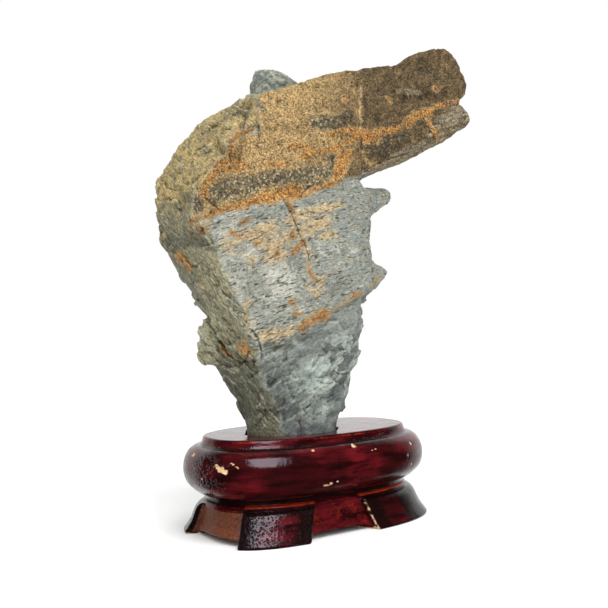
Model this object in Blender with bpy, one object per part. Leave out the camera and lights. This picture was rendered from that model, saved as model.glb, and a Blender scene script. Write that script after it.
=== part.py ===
"""A scholar's rock on its carved and lacquered oval stand.

The rock is one natural piece of layered stone: a narrow foot, a body that
leans out to the left, and a thick bed across the top that runs out to the
right as an arm. It stands loose in a socket in the stand's top board. The
stand is two boards: the moulded oval top, and a base with four corner feet.
"""
import math

import bmesh
import bpy
import numpy as np

MM = 0.001

# Driving sizes of the stand, in millimetres. Offsets are outwards from the edge of the flat top plate.
PLATE_HALF_LENGTH = 60.6
PLATE_HALF_WIDTH = 34.5
PLATE_SQUARENESS = 2.5
FLOOR_SQUARENESS = 3.1
TOP_HEIGHT = 51.5
OVAL_STEPS = 56
SEAM_HEIGHT = 21.0
SEAM_GAP = 0.3
SIDE_GAP = (-18.0, 10.0)
END_GAP = (-21.5, 9.0)
HOLLOW_HEIGHT = 6.0
APRON_RISE = 1.8
SAW_TURN = math.radians(0.5)
FOOT_STEPS = 10
APRON_STEPS = 6
HOLLOW_TAPER = 1.0
SOCKET_DEPTH = 4.7
SOCKET_CLEARANCE = 1.035
REST_GAP = 0.3
CUTTER_HEADROOM = 5.0

# The moulding of the top board, from its flat plate down to the seam: offset and height.
TOP_PROFILE = [
    (-1.0, TOP_HEIGHT), (0.0, 51.0), (0.9, 48.2), (1.9, 46.9), (3.4, 46.7), (5.6, 45.8), (8.1, 43.5),
    (9.9, 39.8), (10.6, 35.6), (10.4, 31.8), (9.1, 28.0), (6.4, 24.7), (3.2, 22.2), (0.2, SEAM_HEIGHT),
]

# The base: waist and bead, then the flare of a foot and the shallower flare of an apron.
WAIST_PROFILE = [(-1.4, SEAM_HEIGHT - SEAM_GAP), (-1.2, 18.6), (0.4, 17.8), (0.6, 16.9)]
FOOT_PROFILE = [(2.6, 15.7), (4.3, 13.4), (5.3, 10.2), (6.4, 6.6), (8.1, 3.2), (9.2, 1.2), (8.6, 0.0)]
APRON_PROFILE = [(0.7, 15.7), (1.0, 13.4), (1.3, 10.2), (1.8, 7.4), (2.7, 4.6), (3.6, 2.6), (3.2, 1.5)]
FOOT_INNER_OFFSET = -6.0

# The rock stands turned from the stand's long side. Its own axes are u to the right, w to the back, z up.
ROCK_TURN = math.radians(-33.0)
FOOT_BASE = TOP_HEIGHT - SOCKET_DEPTH + REST_GAP
BED_RISE = math.radians(14.0)
BED_DIP = math.radians(9.0)
BED_THICKNESS = 11.0
BED_WANDER = 2.2
BED_WANDER_SIZE = 26.0
BED_UNEVENNESS = 0.35
BED_UNEVEN_LENGTH = 17.0
LEDGE_SWELL = 1.6
LEDGE_SHARPNESS = 1.4
LEDGE_SET_BACK = 0.7
LEDGE_PATCH_SIZE = 34.0
LEDGE_MEAN_STRENGTH = 0.55
LEDGE_STRENGTH_SPREAD = 0.45
CHIP_COUNT = 260
CHIP_DEPTH = 0.6
CHIP_SLOPE = 0.045
CHIP_SHAPE = (0.8, 1.0, 1.25)
LUMP_HEIGHT = 0.6
LUMP_SIZE = 15.0
UPRIGHT_SHARE = 0.35
RELIEF_START = 53.0
RELIEF_FADE = 8.0
CRACK_FRONT = 4.0
CRACK_FADE = 12.0
ROCK_VOXEL = 2.0
ROCK_TRIANGLES = 5700
FLAT_FOOT_BAND = 0.6

# The outline of the rock's foot at the socket, anticlockwise from above: u and w.
FOOT_OUTLINE = [
    (-32, -24), (-23, -30), (-13, -31), (-4, -27), (6, -24), (15, -17), (17, -4), (13, 11), (-4, 16), (-24, 12),
    (-33, -4),
]

# Blocks of the rock, each the hull of its corners: u, w and z in millimetres.
ROCK_BLOCKS = {
    "foot": [(u, w, FOOT_BASE) for u, w in FOOT_OUTLINE] + [(u, w, 55.0) for u, w in FOOT_OUTLINE],
    "ankle": [
        (-32, -24, 54), (-23, -30, 54), (-13, -31, 54), (6, -24, 54), (15, -17, 54), (17, -4, 54), (13, 11, 54),
        (-4, 16, 54), (-24, 12, 54), (-33, -4, 54), (-35, -11, 67), (-27, -28, 66), (-17, -31, 66), (5, -25, 66),
        (21, -14, 66), (23, 0, 66), (18, 13, 66), (-2, 19, 68), (-28, 13, 68),
    ],
    "foot_spur": [(-34, -18, 70), (-39, -12, 67), (-38, -8, 65), (-34, -12, 59), (-30, -6, 70), (-30, -20, 66)],
    "shin": [
        (-35, -11, 66), (-27, -28, 64), (-17, -31, 64), (4, -26, 64), (21, -14, 64), (23, 1, 66), (18, 14, 66),
        (-28, 14, 66), (-51, -5, 88), (-43, -22, 84), (-24, -33, 82), (1, -29, 80), (22, -18, 79), (25, 3, 81),
        (22, 17, 80), (-2, 21, 84), (-38, 16, 86),
    ],
    "thigh": [
        (-51, -6, 87), (-43, -22, 84), (-24, -33, 80), (2, -30, 79), (22, -18, 78), (25, 3, 81), (22, 18, 80),
        (-38, 16, 86), (-52, -4, 108), (-38, -30, 104), (-22, -36, 98), (-1, -32, 101), (24, -25, 118),
        (32, -15, 122), (33, 2, 127), (29, 20, 128), (-6, 27, 126), (-46, 18, 122),
    ],
    "hip": [
        (-62, -2, 126), (-44, -32, 122), (-33, -37, 112), (-24, -38, 97), (-2, -34, 103), (23, -27, 119),
        (37, -17, 131), (38, 2, 134), (34, 22, 130), (-4, 28, 128), (-46, 20, 122), (-52, -4, 106),
    ],
    "heart": [
        (-62, -2, 124), (-44, -32, 120), (-33, -38, 112), (-4, -35, 106), (24, -27, 119), (38, -17, 130),
        (39, 3, 130), (34, 23, 132), (-4, 29, 132), (-50, 22, 126), (-75, 2, 146), (-82, 2, 160), (-83, 0, 175),
        (-53, -31, 168), (-26, -33, 171), (2, -28, 180), (39, -14, 183), (39.5, 4, 185.5), (35, 22, 186),
        (-20, 31, 190), (-66, 22, 176),
    ],
    "knob": [
        (-57, -4, 114), (-59.5, -4, 107), (-62, -3, 99), (-62, -4, 92), (-56, -8, 88), (-47, -18, 90), (-49, -21, 102),
        (-54, -15, 110), (-50, 9, 108), (-52, 8, 92), (-40, 2, 96), (-42, -14, 96),
    ],
    "low_tooth": [(24, -6, 82), (30, -2, 99), (33.5, 1, 95), (29, 4, 86), (24, 8, 92), (24, -10, 94)],
    "mid_tooth": [(28, -8, 104), (31, -1, 112), (35, 1, 108.5), (31, 3, 104), (28, 8, 108)],
    "lower_spur": [
        (28, -12, 142), (38, -6, 146), (48, 4, 143), (52, 7, 139), (43, 8, 133.5), (37, 4, 127), (32, 0, 120),
        (28, -12, 128), (30, 14, 140), (30, 12, 126), (42, 12, 140),
    ],
    "upper_spur": [
        (32, -13, 187), (38, -6, 186.5), (46, 3, 188), (52, 8, 189), (54.5, 9, 184.5), (52, 8, 180), (46, 3, 176),
        (39, 0, 171), (32, -14, 174), (34, 18, 187), (34, 16, 172), (48, 13, 186),
    ],
    "shoulder": [
        (-81, 1, 160), (-84, 1, 174), (-85, 3, 188), (-84, 5, 196), (-78.5, 6, 203), (-71, 6, 213), (-66.5, 5, 221),
        (-60, 4, 228), (-49, 2, 234), (-40, -2, 235), (-52, -31, 168), (-50, -31, 186), (-42, -29, 202),
        (-34, -26, 220), (-29, -20, 231), (-70, 20, 214), (-72, 22, 178), (-46, 26, 230), (-12, 29, 232),
        (24, 28, 226), (33, 24, 187), (-20, 33, 200), (-10, -20, 170), (20, -12, 184), (10, -14, 236),
    ],
    "crown": [
        (-41, -3, 234), (-27, -22, 236), (-24, -26, 232), (-26, 0, 243), (-10, 4, 247), (8, 4, 248), (18, 20, 240),
        (-30, 20, 238), (-10, 26, 238), (-20, -24, 222), (-40, 10, 230),
    ],
    "peak": [
        (-28, 4, 240), (-25.5, 6, 252), (-26.5, 6, 258), (-24.5, 7, 262.5), (-17, 8, 263), (-7.5, 8, 259.5), (-2.5, 9, 253),
        (6, 10, 249),
        (-26, 16, 254), (-12, 18, 254), (4, 18, 246), (-28, 20, 238), (-20, -4, 242), (-22, 1, 254),
    ],
    "bed_left": [
        (-46, -35, 164), (-46, -34, 183), (-38, -34, 193), (-30, -33, 196), (0, -29, 200), (8, -25, 179),
        (-5, -30, 176), (-22, -34, 171), (-36, -36, 167), (-47, -24, 184), (-38, -20, 196), (0, -10, 200),
        (-44, -22, 166), (4, -12, 178),
    ],
    "bed_middle": [
        (-32, -33, 190), (-31, -32, 205), (-24, -31, 211), (-26, -28, 222), (-24, -27, 234), (-4, -22, 243),
        (13, -18, 248), (27, -14, 252), (40, -10, 253), (35, -12, 192), (25, -19, 187), (5, -26, 179),
        (-18, -31, 180), (-22, 2, 240), (12, 8, 248), (40, 16, 252), (34, 14, 194), (0, 4, 184),
    ],
    "arm_root": [
        (24, -15, 251), (24, -19, 188), (35, -12, 191.5), (52, -5, 203.5), (64, -1, 209.5), (70, 1, 212.5), (72, 0, 258),
        (60, -4, 260), (50, -8, 256), (28, 14, 250), (30, 14, 193), (38, 14, 197), (52, 17, 203.5), (60, 15, 207),
        (70, 17, 209.5), (70, 22, 216), (70, 24, 256), (50, 20, 254),
    ],
    "arm_upper": [
        (56, -5, 256), (60, -4, 261), (72, -1, 267), (83, 4, 272.5), (90.5, 7, 272), (96.5, 9, 264), (101, 9, 252),
        (99.5, 10, 243.5), (93, 6, 239), (58, -4, 232), (56, 20, 256), (72, 23, 264), (86, 26, 267), (96, 27, 254),
        (92, 25, 240), (58, 20, 232), (92, 18, 262),
    ],
    "arm_lower": [
        (52, -6, 236), (91, 4, 238), (99, 8, 235), (101.5, 9, 230), (100.5, 9, 225.5), (92, 7, 220), (77, 4, 215),
        (64, -1, 209.5), (54, -5, 205), (54, 18, 236), (91, 25, 238), (97, 25, 234), (92, 22, 222), (77, 18, 213),
        (66, 16, 207.5), (56, 16, 206), (100.5, 17, 229),
    ],
}

# Cracks cut into the front: the line's points (u, z), its half width and its depth.
ROCK_CRACKS = [
    ([(-56, 116), (-50, 107), (-44, 97), (-38, 92), (-28, 91)], 2.0, 4.5),
    ([(-28, 97), (-3, 99), (14, 112), (37, 126)], 3.0, 1.6),
    ([(-46, 184), (-37, 195), (-30, 206), (-25, 212)], 2.4, 1.8),
]


def remove_everything():
    for thing in list(bpy.data.objects):
        bpy.data.objects.remove(thing, do_unlink=True)


def make_material(name, colour, roughness, coat=0.0):
    material = bpy.data.materials.new(name)
    material.use_nodes = True
    shader = material.node_tree.nodes["Principled BSDF"]
    shader.inputs["Base Color"].default_value = (*colour, 1.0)
    shader.inputs["Roughness"].default_value = roughness
    shader.inputs["Metallic"].default_value = 0.0
    shader.inputs["Coat Weight"].default_value = coat
    material.diffuse_color = (*colour, 1.0)
    return material


def make_object(name, points, faces, material):
    """A mesh object from points in millimetres."""
    mesh = bpy.data.meshes.new(name)
    scaled = [tuple(float(value) * MM for value in point) for point in points]
    mesh.from_pydata(scaled, [], [tuple(int(index) for index in face) for face in faces])
    mesh.materials.append(material)
    mesh.validate()
    made = bpy.data.objects.new(name, mesh)
    bpy.context.scene.collection.objects.link(made)
    return made


def oval(offset, squareness, angles):
    """Points of the oval at the given angles: a superellipse grown outwards by the offset."""
    power = 2.0 / squareness
    cosine, sine = np.cos(angles), np.sin(angles)
    x = (PLATE_HALF_LENGTH + offset) * np.sign(cosine) * np.abs(cosine) ** power
    y = (PLATE_HALF_WIDTH + offset) * np.sign(sine) * np.abs(sine) ** power
    return x, y


def closed_rings(rings, top_height, bottom_height):
    """Points and faces of rings joined from the top centre, down the outside, to the bottom centre."""
    count = len(rings[0])
    points = [(0.0, 0.0, top_height)] + [tuple(point) for ring in rings for point in ring]
    points.append((0.0, 0.0, bottom_height))
    last = len(points) - 1
    faces = []
    for column in range(count):
        after = (column + 1) % count
        faces.append((0, 1 + column, 1 + after))
        for row in range(len(rings) - 1):
            upper = 1 + row * count
            lower = upper + count
            faces.append((upper + column, lower + column, lower + after, upper + after))
        bottom = 1 + (len(rings) - 1) * count
        faces.append((bottom + after, bottom + column, last))
    return points, faces


def make_stand_top(material):
    """The oval board: its moulding carried round the edge of the plate."""
    angles = np.linspace(0.0, 2.0 * math.pi, OVAL_STEPS, endpoint=False)
    rings = []
    for offset, height in TOP_PROFILE:
        x, y = oval(offset, PLATE_SQUARENESS, angles)
        rings.append(np.stack([x, y, np.full_like(x, height)], axis=1))
    points, faces = closed_rings(rings, TOP_HEIGHT, SEAM_HEIGHT)
    return make_object("stand_top", points, faces, material)


def base_cuts():
    """Angles of the eight sawn sides of the feet, from the right end round: the gaps are sawn off centre, in pairs."""
    power = PLATE_SQUARENESS / 2.0
    near, far = [math.acos((abs(place) / PLATE_HALF_LENGTH) ** power) for place in SIDE_GAP]
    front, back = [math.asin((abs(place) / PLATE_HALF_WIDTH) ** power) for place in END_GAP]
    half = [-back, front, near, math.pi - far]
    return half + [angle + math.pi for angle in half]


def base_columns():
    """Angles round the base, the share of each that is foot, and how far along its gap it lies, from 0 to 1."""
    cuts = base_cuts()
    cuts.append(cuts[0] + 2.0 * math.pi)
    columns = []
    for number in range(8):
        start, stop = cuts[number] + SAW_TURN, cuts[number + 1] - SAW_TURN
        is_foot = number % 2
        steps = FOOT_STEPS if is_foot else APRON_STEPS
        for step in range(steps + 1):
            along = step / steps
            columns.append((start + (stop - start) * along, is_foot, along))
    return np.array(columns)


def make_stand_base(material):
    """The base: waist and bead all round, then feet at the corners with recessed aprons between them."""
    angles, foot, along = base_columns().T
    arch = APRON_RISE * np.sqrt(np.sin(math.pi * np.clip(along, 0.0, 1.0)).clip(0.0)) * (1.0 - foot)
    rings = []

    def add_ring(offset, squareness, height):
        x, y = oval(offset, squareness, angles)
        rings.append(np.stack([x, y, height + 0.0 * x], axis=1))

    for offset, height in WAIST_PROFILE:
        add_ring(offset, PLATE_SQUARENESS, height)
    rows = len(FOOT_PROFILE)
    for row in range(rows):
        foot_offset, foot_height = FOOT_PROFILE[row]
        apron_offset, apron_height = APRON_PROFILE[row]
        down = (row + 1) / rows
        squareness = PLATE_SQUARENESS + (FLOOR_SQUARENESS - PLATE_SQUARENESS) * down
        offset = np.where(foot > 0.0, foot_offset, apron_offset)
        height = np.where(foot > 0.0, foot_height, apron_height + arch * down ** 2)
        add_ring(offset, squareness, height)
    floor_edge = rings[-1][:, 2].copy()
    add_ring(FOOT_INNER_OFFSET, PLATE_SQUARENESS, floor_edge)
    add_ring(FOOT_INNER_OFFSET - HOLLOW_TAPER, PLATE_SQUARENESS, HOLLOW_HEIGHT)
    points, faces = closed_rings(rings, WAIST_PROFILE[0][1], HOLLOW_HEIGHT)
    return make_object("stand_base", points, faces, material)


def hull_faces(builder, corners):
    """Add the hull of the corners to the builder."""
    made = [builder.verts.new((u * MM, w * MM, z * MM)) for u, w, z in corners]
    result = bmesh.ops.convex_hull(builder, input=made)
    loose = [item for item in result["geom_interior"] if isinstance(item, bmesh.types.BMVert)]
    loose += [item for item in result["geom_unused"] if isinstance(item, bmesh.types.BMVert)]
    bmesh.ops.delete(builder, geom=list(set(loose)), context="VERTS")


def value_noise(points, size, seed):
    """Smooth noise from -1 to 1: fixed numbers on a lattice of the given size, blended between its corners."""
    cell = np.floor(points / size).astype(np.int64)
    inside = points / size - cell
    blend = inside * inside * (3.0 - 2.0 * inside)
    total = np.zeros(len(points))
    for corner in range(8):
        step = np.array([corner & 1, (corner >> 1) & 1, (corner >> 2) & 1])
        key = (cell + step) @ np.array([374761393, 668265263, 2147483647]) + seed * 974634777
        key = (key ^ (key >> 13)) * 1274126177
        number = ((key ^ (key >> 16)) & 0xFFFF) / 32767.5 - 1.0
        share = np.prod(np.where(step == 1, blend, 1.0 - blend), axis=1)
        total += share * number
    return total


def bedding_height(points):
    """How far a point lies across the rock's beds, which rise to the right and dip to the back."""
    rise = points[:, 2] * math.cos(BED_RISE) - points[:, 0] * math.sin(BED_RISE)
    return rise * math.cos(BED_DIP) + points[:, 1] * math.sin(BED_DIP)


def ledges(points):
    """Beds of uneven hardness: each swells from its foot and breaks back at its top."""
    across = bedding_height(points) + BED_WANDER * value_noise(points, BED_WANDER_SIZE, seed=3)
    place = across / BED_THICKNESS + BED_UNEVENNESS * np.sin(across / BED_UNEVEN_LENGTH)
    part = place - np.floor(place)
    strength = LEDGE_MEAN_STRENGTH + LEDGE_STRENGTH_SPREAD * value_noise(points, LEDGE_PATCH_SIZE, seed=5)
    return strength * (LEDGE_SWELL * part ** LEDGE_SHARPNESS - LEDGE_SET_BACK)


def chips(points, seed):
    """Broken facets: every point takes the depth and slope of the nearest of some scattered centres."""
    random = np.random.RandomState(seed)
    low, high = points.min(axis=0), points.max(axis=0)
    centres = low + random.rand(CHIP_COUNT, 3) * (high - low)
    depth = random.rand(CHIP_COUNT) * 2.0 - 1.0
    slope = random.randn(CHIP_COUNT, 3) * CHIP_SLOPE
    shape = np.array(CHIP_SHAPE)
    gap = (((points[:, None, :] - centres[None, :, :]) * shape) ** 2).sum(axis=2)
    nearest = gap.argmin(axis=1)
    return CHIP_DEPTH * depth[nearest] + ((points - centres[nearest]) * slope[nearest]).sum(axis=1)


def crack_depth(points):
    """How deep the named cracks cut at each point of the front, falling off to the side of their lines."""
    depth = np.zeros(len(points))
    place = points[:, [0, 2]]
    for line, half_width, deepest in ROCK_CRACKS:
        line = np.array(line, dtype=float)
        nearest = np.full(len(points), 1e9)
        for start, stop in zip(line[:-1], line[1:]):
            along = stop - start
            share = np.clip((place - start) @ along / (along @ along), 0.0, 1.0)
            nearest = np.minimum(nearest, np.linalg.norm(place - start - share[:, None] * along, axis=1))
        depth = np.maximum(depth, deepest * np.exp(-(nearest / half_width) ** 2))
    return depth * np.clip((CRACK_FRONT - points[:, 1]) / CRACK_FADE, 0.0, 1.0)


def evaluated_mesh(thing):
    view = bpy.context.evaluated_depsgraph_get()
    return bpy.data.meshes.new_from_object(thing.evaluated_get(view), depsgraph=view)


def mesh_points(mesh):
    values = np.empty(len(mesh.vertices) * 3)
    mesh.vertices.foreach_get("co", values)
    return values.reshape(-1, 3) / MM


def mesh_normals(mesh):
    values = np.empty(len(mesh.vertices) * 3, dtype=np.float32)
    mesh.vertex_normals.foreach_get("vector", values)
    return values.reshape(-1, 3).astype(float)


def write_points(mesh, points):
    mesh.vertices.foreach_set("co", (points * MM).astype(np.float32).ravel())
    mesh.update()


def make_rock(material):
    """The rock: its blocks joined to one skin, then ledges, broken facets and cracks worked into it."""
    builder = bmesh.new()
    for corners in ROCK_BLOCKS.values():
        hull_faces(builder, corners)
    bmesh.ops.recalc_face_normals(builder, faces=builder.faces)
    mesh = bpy.data.meshes.new("rock")
    builder.to_mesh(mesh)
    builder.free()
    rock = bpy.data.objects.new("rock", mesh)
    bpy.context.scene.collection.objects.link(rock)
    skin = rock.modifiers.new("skin", "REMESH")
    skin.mode = "VOXEL"
    skin.voxel_size = ROCK_VOXEL * MM
    mesh = evaluated_mesh(rock)
    points = mesh_points(mesh)
    normals = mesh_normals(mesh)
    sideways = normals * np.array([1.0, 1.0, UPRIGHT_SHARE])
    lumps = LUMP_HEIGHT * value_noise(points, LUMP_SIZE, seed=7)
    shift = ledges(points) + chips(points, seed=11) + lumps - crack_depth(points)
    above_socket = np.clip((points[:, 2] - RELIEF_START) / RELIEF_FADE, 0.0, 1.0)
    points += sideways * (shift * above_socket)[:, None]
    write_points(mesh, points)
    rock.modifiers.remove(skin)
    rock.data = mesh
    fewer = rock.modifiers.new("fewer", "DECIMATE")
    triangles = sum(len(face.vertices) - 2 for face in mesh.polygons)
    fewer.ratio = ROCK_TRIANGLES / triangles
    mesh = evaluated_mesh(rock)
    rock.modifiers.remove(fewer)
    points = mesh_points(mesh)
    near_base = points[:, 2] < FOOT_BASE + FLAT_FOOT_BAND
    points[near_base, 2] = FOOT_BASE
    write_points(mesh, points)
    mesh.materials.clear()
    mesh.materials.append(material)
    rock.data = mesh
    rock.rotation_euler = (0.0, 0.0, ROCK_TURN)
    return rock


def make_socket(stand_top, material):
    """A flat-bottomed recess in the plate, the outline of the rock's foot grown by the clearance."""
    outline = np.array(FOOT_OUTLINE, dtype=float)
    middle = outline.mean(axis=0)
    away = outline - middle
    length = np.linalg.norm(away, axis=1, keepdims=True)
    outline = middle + away * (length + SOCKET_CLEARANCE) / length
    count = len(outline)
    floor = TOP_HEIGHT - SOCKET_DEPTH
    points = [(u, w, floor) for u, w in outline] + [(u, w, TOP_HEIGHT + CUTTER_HEADROOM) for u, w in outline]
    sides = [(side, (side + 1) % count, count + (side + 1) % count, count + side) for side in range(count)]
    caps = [tuple(reversed(range(count))), tuple(range(count, 2 * count))]
    cutter = make_object("socket_cutter", points, sides + caps, material)
    cutter.rotation_euler = (0.0, 0.0, ROCK_TURN)
    cutter.hide_render = True
    cutter.display_type = "WIRE"
    cut = stand_top.modifiers.new("socket", "BOOLEAN")
    cut.operation = "DIFFERENCE"
    cut.solver = "EXACT"
    cut.object = cutter
    return cutter


def centre_on_origin(nodes, others):
    """Move everything sideways so that the box round the whole object is centred on the origin."""
    bpy.context.view_layer.update()
    lowest, highest = [1e9, 1e9], [-1e9, -1e9]
    for node in nodes:
        for vertex in node.data.vertices:
            place = node.matrix_world @ vertex.co
            for axis in range(2):
                lowest[axis] = min(lowest[axis], place[axis])
                highest[axis] = max(highest[axis], place[axis])
    for thing in nodes + others:
        thing.location.x -= (lowest[0] + highest[0]) / 2.0
        thing.location.y -= (lowest[1] + highest[1]) / 2.0


def main():
    remove_everything()
    lacquer = make_material("oxblood_lacquer", (0.085, 0.006, 0.008), 0.12, 0.6)
    stone = make_material("layered_stone", (0.22, 0.21, 0.18), 0.75)
    stand_top = make_stand_top(lacquer)
    stand_base = make_stand_base(lacquer)
    rock = make_rock(stone)
    cutter = make_socket(stand_top, lacquer)
    centre_on_origin([stand_top, stand_base, rock], [cutter])


main()
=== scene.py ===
import math

import bmesh
import bpy
import numpy as np
from mathutils import Matrix, Vector


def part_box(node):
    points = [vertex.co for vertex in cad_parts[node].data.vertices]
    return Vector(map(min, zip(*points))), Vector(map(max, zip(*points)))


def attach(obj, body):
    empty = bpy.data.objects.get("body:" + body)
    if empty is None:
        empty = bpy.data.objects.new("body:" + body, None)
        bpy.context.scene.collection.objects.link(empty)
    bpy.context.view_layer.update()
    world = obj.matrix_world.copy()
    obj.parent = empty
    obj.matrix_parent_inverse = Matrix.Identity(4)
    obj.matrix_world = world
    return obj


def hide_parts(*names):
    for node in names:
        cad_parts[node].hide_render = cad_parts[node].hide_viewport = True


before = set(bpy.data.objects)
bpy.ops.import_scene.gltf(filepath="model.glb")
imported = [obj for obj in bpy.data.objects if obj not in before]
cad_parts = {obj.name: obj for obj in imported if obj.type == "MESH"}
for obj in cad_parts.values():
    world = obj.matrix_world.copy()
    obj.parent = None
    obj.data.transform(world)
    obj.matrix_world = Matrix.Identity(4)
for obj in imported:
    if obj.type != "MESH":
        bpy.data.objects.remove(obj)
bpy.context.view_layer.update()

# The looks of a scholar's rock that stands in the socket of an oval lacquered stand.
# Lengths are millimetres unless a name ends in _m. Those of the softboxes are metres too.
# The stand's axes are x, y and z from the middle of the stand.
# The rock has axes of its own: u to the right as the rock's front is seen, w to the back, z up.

MM = 0.001
ROCK_TURN = math.radians(-33.0)
LOW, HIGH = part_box("stand_top")
MIDDLE = [(LOW[axis] + HIGH[axis]) / 2.0 / MM for axis in range(2)]

# The camera looks along the rock's w axis, a little upwards, and is rolled a little.
FOCAL_LENGTH = 44.408
SENSOR_WIDTH = 36.0
CAMERA_DISTANCE = 429.0
CAMERA_SIDE = 0.5
CAMERA_HEIGHT = 105.6
CAMERA_RISE = math.radians(2.17)
CAMERA_ROLL = math.radians(1.57)

RIGHT = Vector((math.cos(ROCK_TURN), math.sin(ROCK_TURN), 0.0))
BACK = Vector((-math.sin(ROCK_TURN), math.cos(ROCK_TURN), 0.0))
UP = Vector((0.0, 0.0, 1.0))

# Driving sizes of the rock's surface.
ROCK_VOXEL = 1.02
SOFTEN_ROUNDS = 4
NORMAL_ROUNDS = 12
HOLLOW_ROUNDS = 4
FOOT_LINE = 53.0
STONE_BUMP_M = 0.0009

# How steeply the sets of beds rise to the right, in degrees.
FRONT_SLOPE = 19.0
UPPER_SLOPE = 16.0
ROOT_SLOPE = 32.0
CROSS_SLOPE = -50.0
SIDE_SLOPE = -52.0

# Driving sizes of the stand, the same as its solids have.
PLATE_HALF_LENGTH = 60.6
PLATE_HALF_WIDTH = 34.5
PLATE_SQUARENESS = 2.5
FLOOR_SQUARENESS = 3.1
TOP_HEIGHT = 51.5
SEAM_HEIGHT = 21.0
SOCKET_FLOOR = 46.8
SOCKET_CLEARANCE = 1.0
SIDE_GAP = (-18.0, 10.0)
END_GAP = (-21.5, 9.0)
HOLLOW_HEIGHT = 6.0
APRON_RISE = 1.8
FOOT_INNER_OFFSET = -6.0
TOP_PROFILE = [
    (-1.0, 51.5), (0.0, 51.0), (0.9, 48.2), (1.9, 46.9), (3.4, 46.7), (5.6, 45.8), (8.1, 43.5), (9.9, 39.8),
    (10.6, 35.6), (10.4, 31.8), (9.1, 28.0), (6.4, 24.7), (3.2, 22.2), (0.2, 21.0),
]
WAIST_PROFILE = [(-1.4, 20.7), (-1.2, 18.6), (0.4, 17.8), (0.6, 16.9)]
FOOT_PROFILE = [(2.6, 15.7), (4.3, 13.4), (5.3, 10.2), (6.4, 6.6), (8.1, 3.2), (9.2, 1.2), (8.6, 0.0)]
APRON_PROFILE = [(0.7, 15.7), (1.0, 13.4), (1.3, 10.2), (1.8, 7.4), (2.7, 4.6), (3.6, 2.6), (3.2, 1.5)]
FOOT_OUTLINE = [
    (-32, -24), (-23, -30), (-13, -31), (6, -24), (15, -17), (17, -4), (13, 11), (-4, 16), (-24, 12),
    (-33, -4),
]

# How finely the stand's grids are cut, in columns round it and rings down it.
BOARD_COLUMNS = 560
BOARD_RINGS = 96
PLATE_RINGS = 22
WAIST_RINGS = 22
FLARE_RINGS = 64
FOOT_COLUMNS = 60
APRON_COLUMNS = 46
SAWN_TURNS = np.array([0.0, 0.0012, 0.003, 0.006, 0.010, 0.016])
INNER_TURN = 0.022
SAW_TURN = math.radians(0.28)

# Small forms and wear of the stand: offsets and distances in millimetres, turns in radians.
MIDDLE_OFFSET = 5.0
CHIP_OFFSET = 9.0
CHIP_DEPTH = 0.22
WAVE_HEIGHT = 0.09
CORNER_ROUND = 0.9
CORNER_TURN = 0.014
# DARK_CORNER is the width of the painted shade on the feet's corners.
DARK_CORNER = 6.2
WORN_PLACE = 12.0
WORN_WIDTH = 9.0
LACQUER_BUMP_M = 0.00035

# Softboxes: place to the right, back and up, width, height, watts and tint. The last two say whether it
# lights matt surfaces and whether it shows in glossy ones.
SOFTBOXES = {
    "key": ((0.22, -0.46, 1.05), 0.62, 0.5, 5.0, (1.0, 0.985, 0.96), True, False),
    "side": ((0.95, -0.55, 0.75), 0.7, 0.7, 1.2, (0.95, 0.975, 1.0), True, False),
    "gloss": ((0.12, -0.75, 0.86), 0.6, 0.8, 7.5, (0.93, 0.88, 1.0), False, True),
}
AIM_HEIGHT_M = 0.13
CEILING_PLACE_M = (0.2, -0.45, 1.15)
CEILING_SPREAD = math.radians(100.0)
CEILING_STRENGTH = 2.9
ROOM_STRENGTH = 0.31
BACKDROP_SHINE = 1.04
DARK_SHINE = 0.02
FLOOR_REACH_M = 4.0
FLOOR_DROP_M = 0.00005
PAPER = (0.93, 0.93, 0.93)
WHITE = (1.0, 1.0, 1.0)

# Regions of the rock's front and back as outlines in u and z.
FRONT_BED = [
    (-58, 170), (-47, 170.5), (-36, 171.5), (-25, 173), (-13, 174.5), (-5, 177), (0, 179.5), (4, 182),
    (14, 184.5), (22, 188.5), (30, 191.5), (37, 194), (45, 192), (70, 200), (120, 222), (120, 285),
    (60, 278), (-14, 254), (-22, 236), (-21, 230), (-20, 222), (-20, 213), (-27, 213), (-36, 208),
    (-41, 202), (-46, 197), (-52, 189), (-58, 181),
]
BACK_BED = [
    (-30, 187), (37, 197), (45, 192), (70, 200), (120, 222), (120, 285), (60, 278), (-10, 258), (-28, 240),
]
FRONT_OLIVE = [
    (-110, 40), (-14, 40), (-14, 51), (-13, 57), (-14, 64), (-18, 72), (-23, 78), (-24, 92), (-27, 100),
    (-28, 108), (-30, 117), (-35, 124), (-39, 132), (-42, 144), (-47, 156), (-52, 166), (-58, 172),
    (-58, 181), (-50, 189), (-41, 203), (-36, 210), (-24, 216), (-20, 214), (-20, 223), (-23, 237),
    (-30, 242), (-110, 242),
]
BACK_OLIVE = [(-110, 100), (-60, 110), (-38, 150), (-26, 190), (-22, 240), (-110, 245)]
FRONT_ROOT = [
    (-14, 40), (-14, 51), (-13, 57), (-14, 64), (-18, 72), (-23, 78), (-24, 92), (-20, 96), (-13, 98),
    (-2, 103), (9, 108), (23, 119), (31, 125), (40, 131), (60, 142), (60, 40),
]
BACK_ROOT = [(-70, 40), (-70, 104), (-30, 100), (10, 112), (60, 128), (60, 40)]
ARM_END = [(72, 212), (84, 215), (100, 224), (104, 236), (92, 238), (86, 233), (80, 227), (75, 221)]
PEAK = [(-31, 237), (-24, 237), (-14, 240.5), (-4, 244), (8, 249), (9, 275), (-36, 275)]
REGION_SOFTNESS = 4.0

# The web of stone under the arm: its outline, its front's w at u 0 and how that changes with u, and its back.
NOTCH_WEB = [(17, 180), (28, 178), (38, 183.6), (33.5, 190), (31, 194.5), (19, 191)]
WEB_FRONT = -28.0
WEB_FRONT_SLOPE = 0.4
WEB_BACK = 6.0
KNOB_CRACK = [(-54, 112.5), (-47.5, 105), (-44.5, 99.5), (-41.5, 95), (-38, 92.5)]

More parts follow.
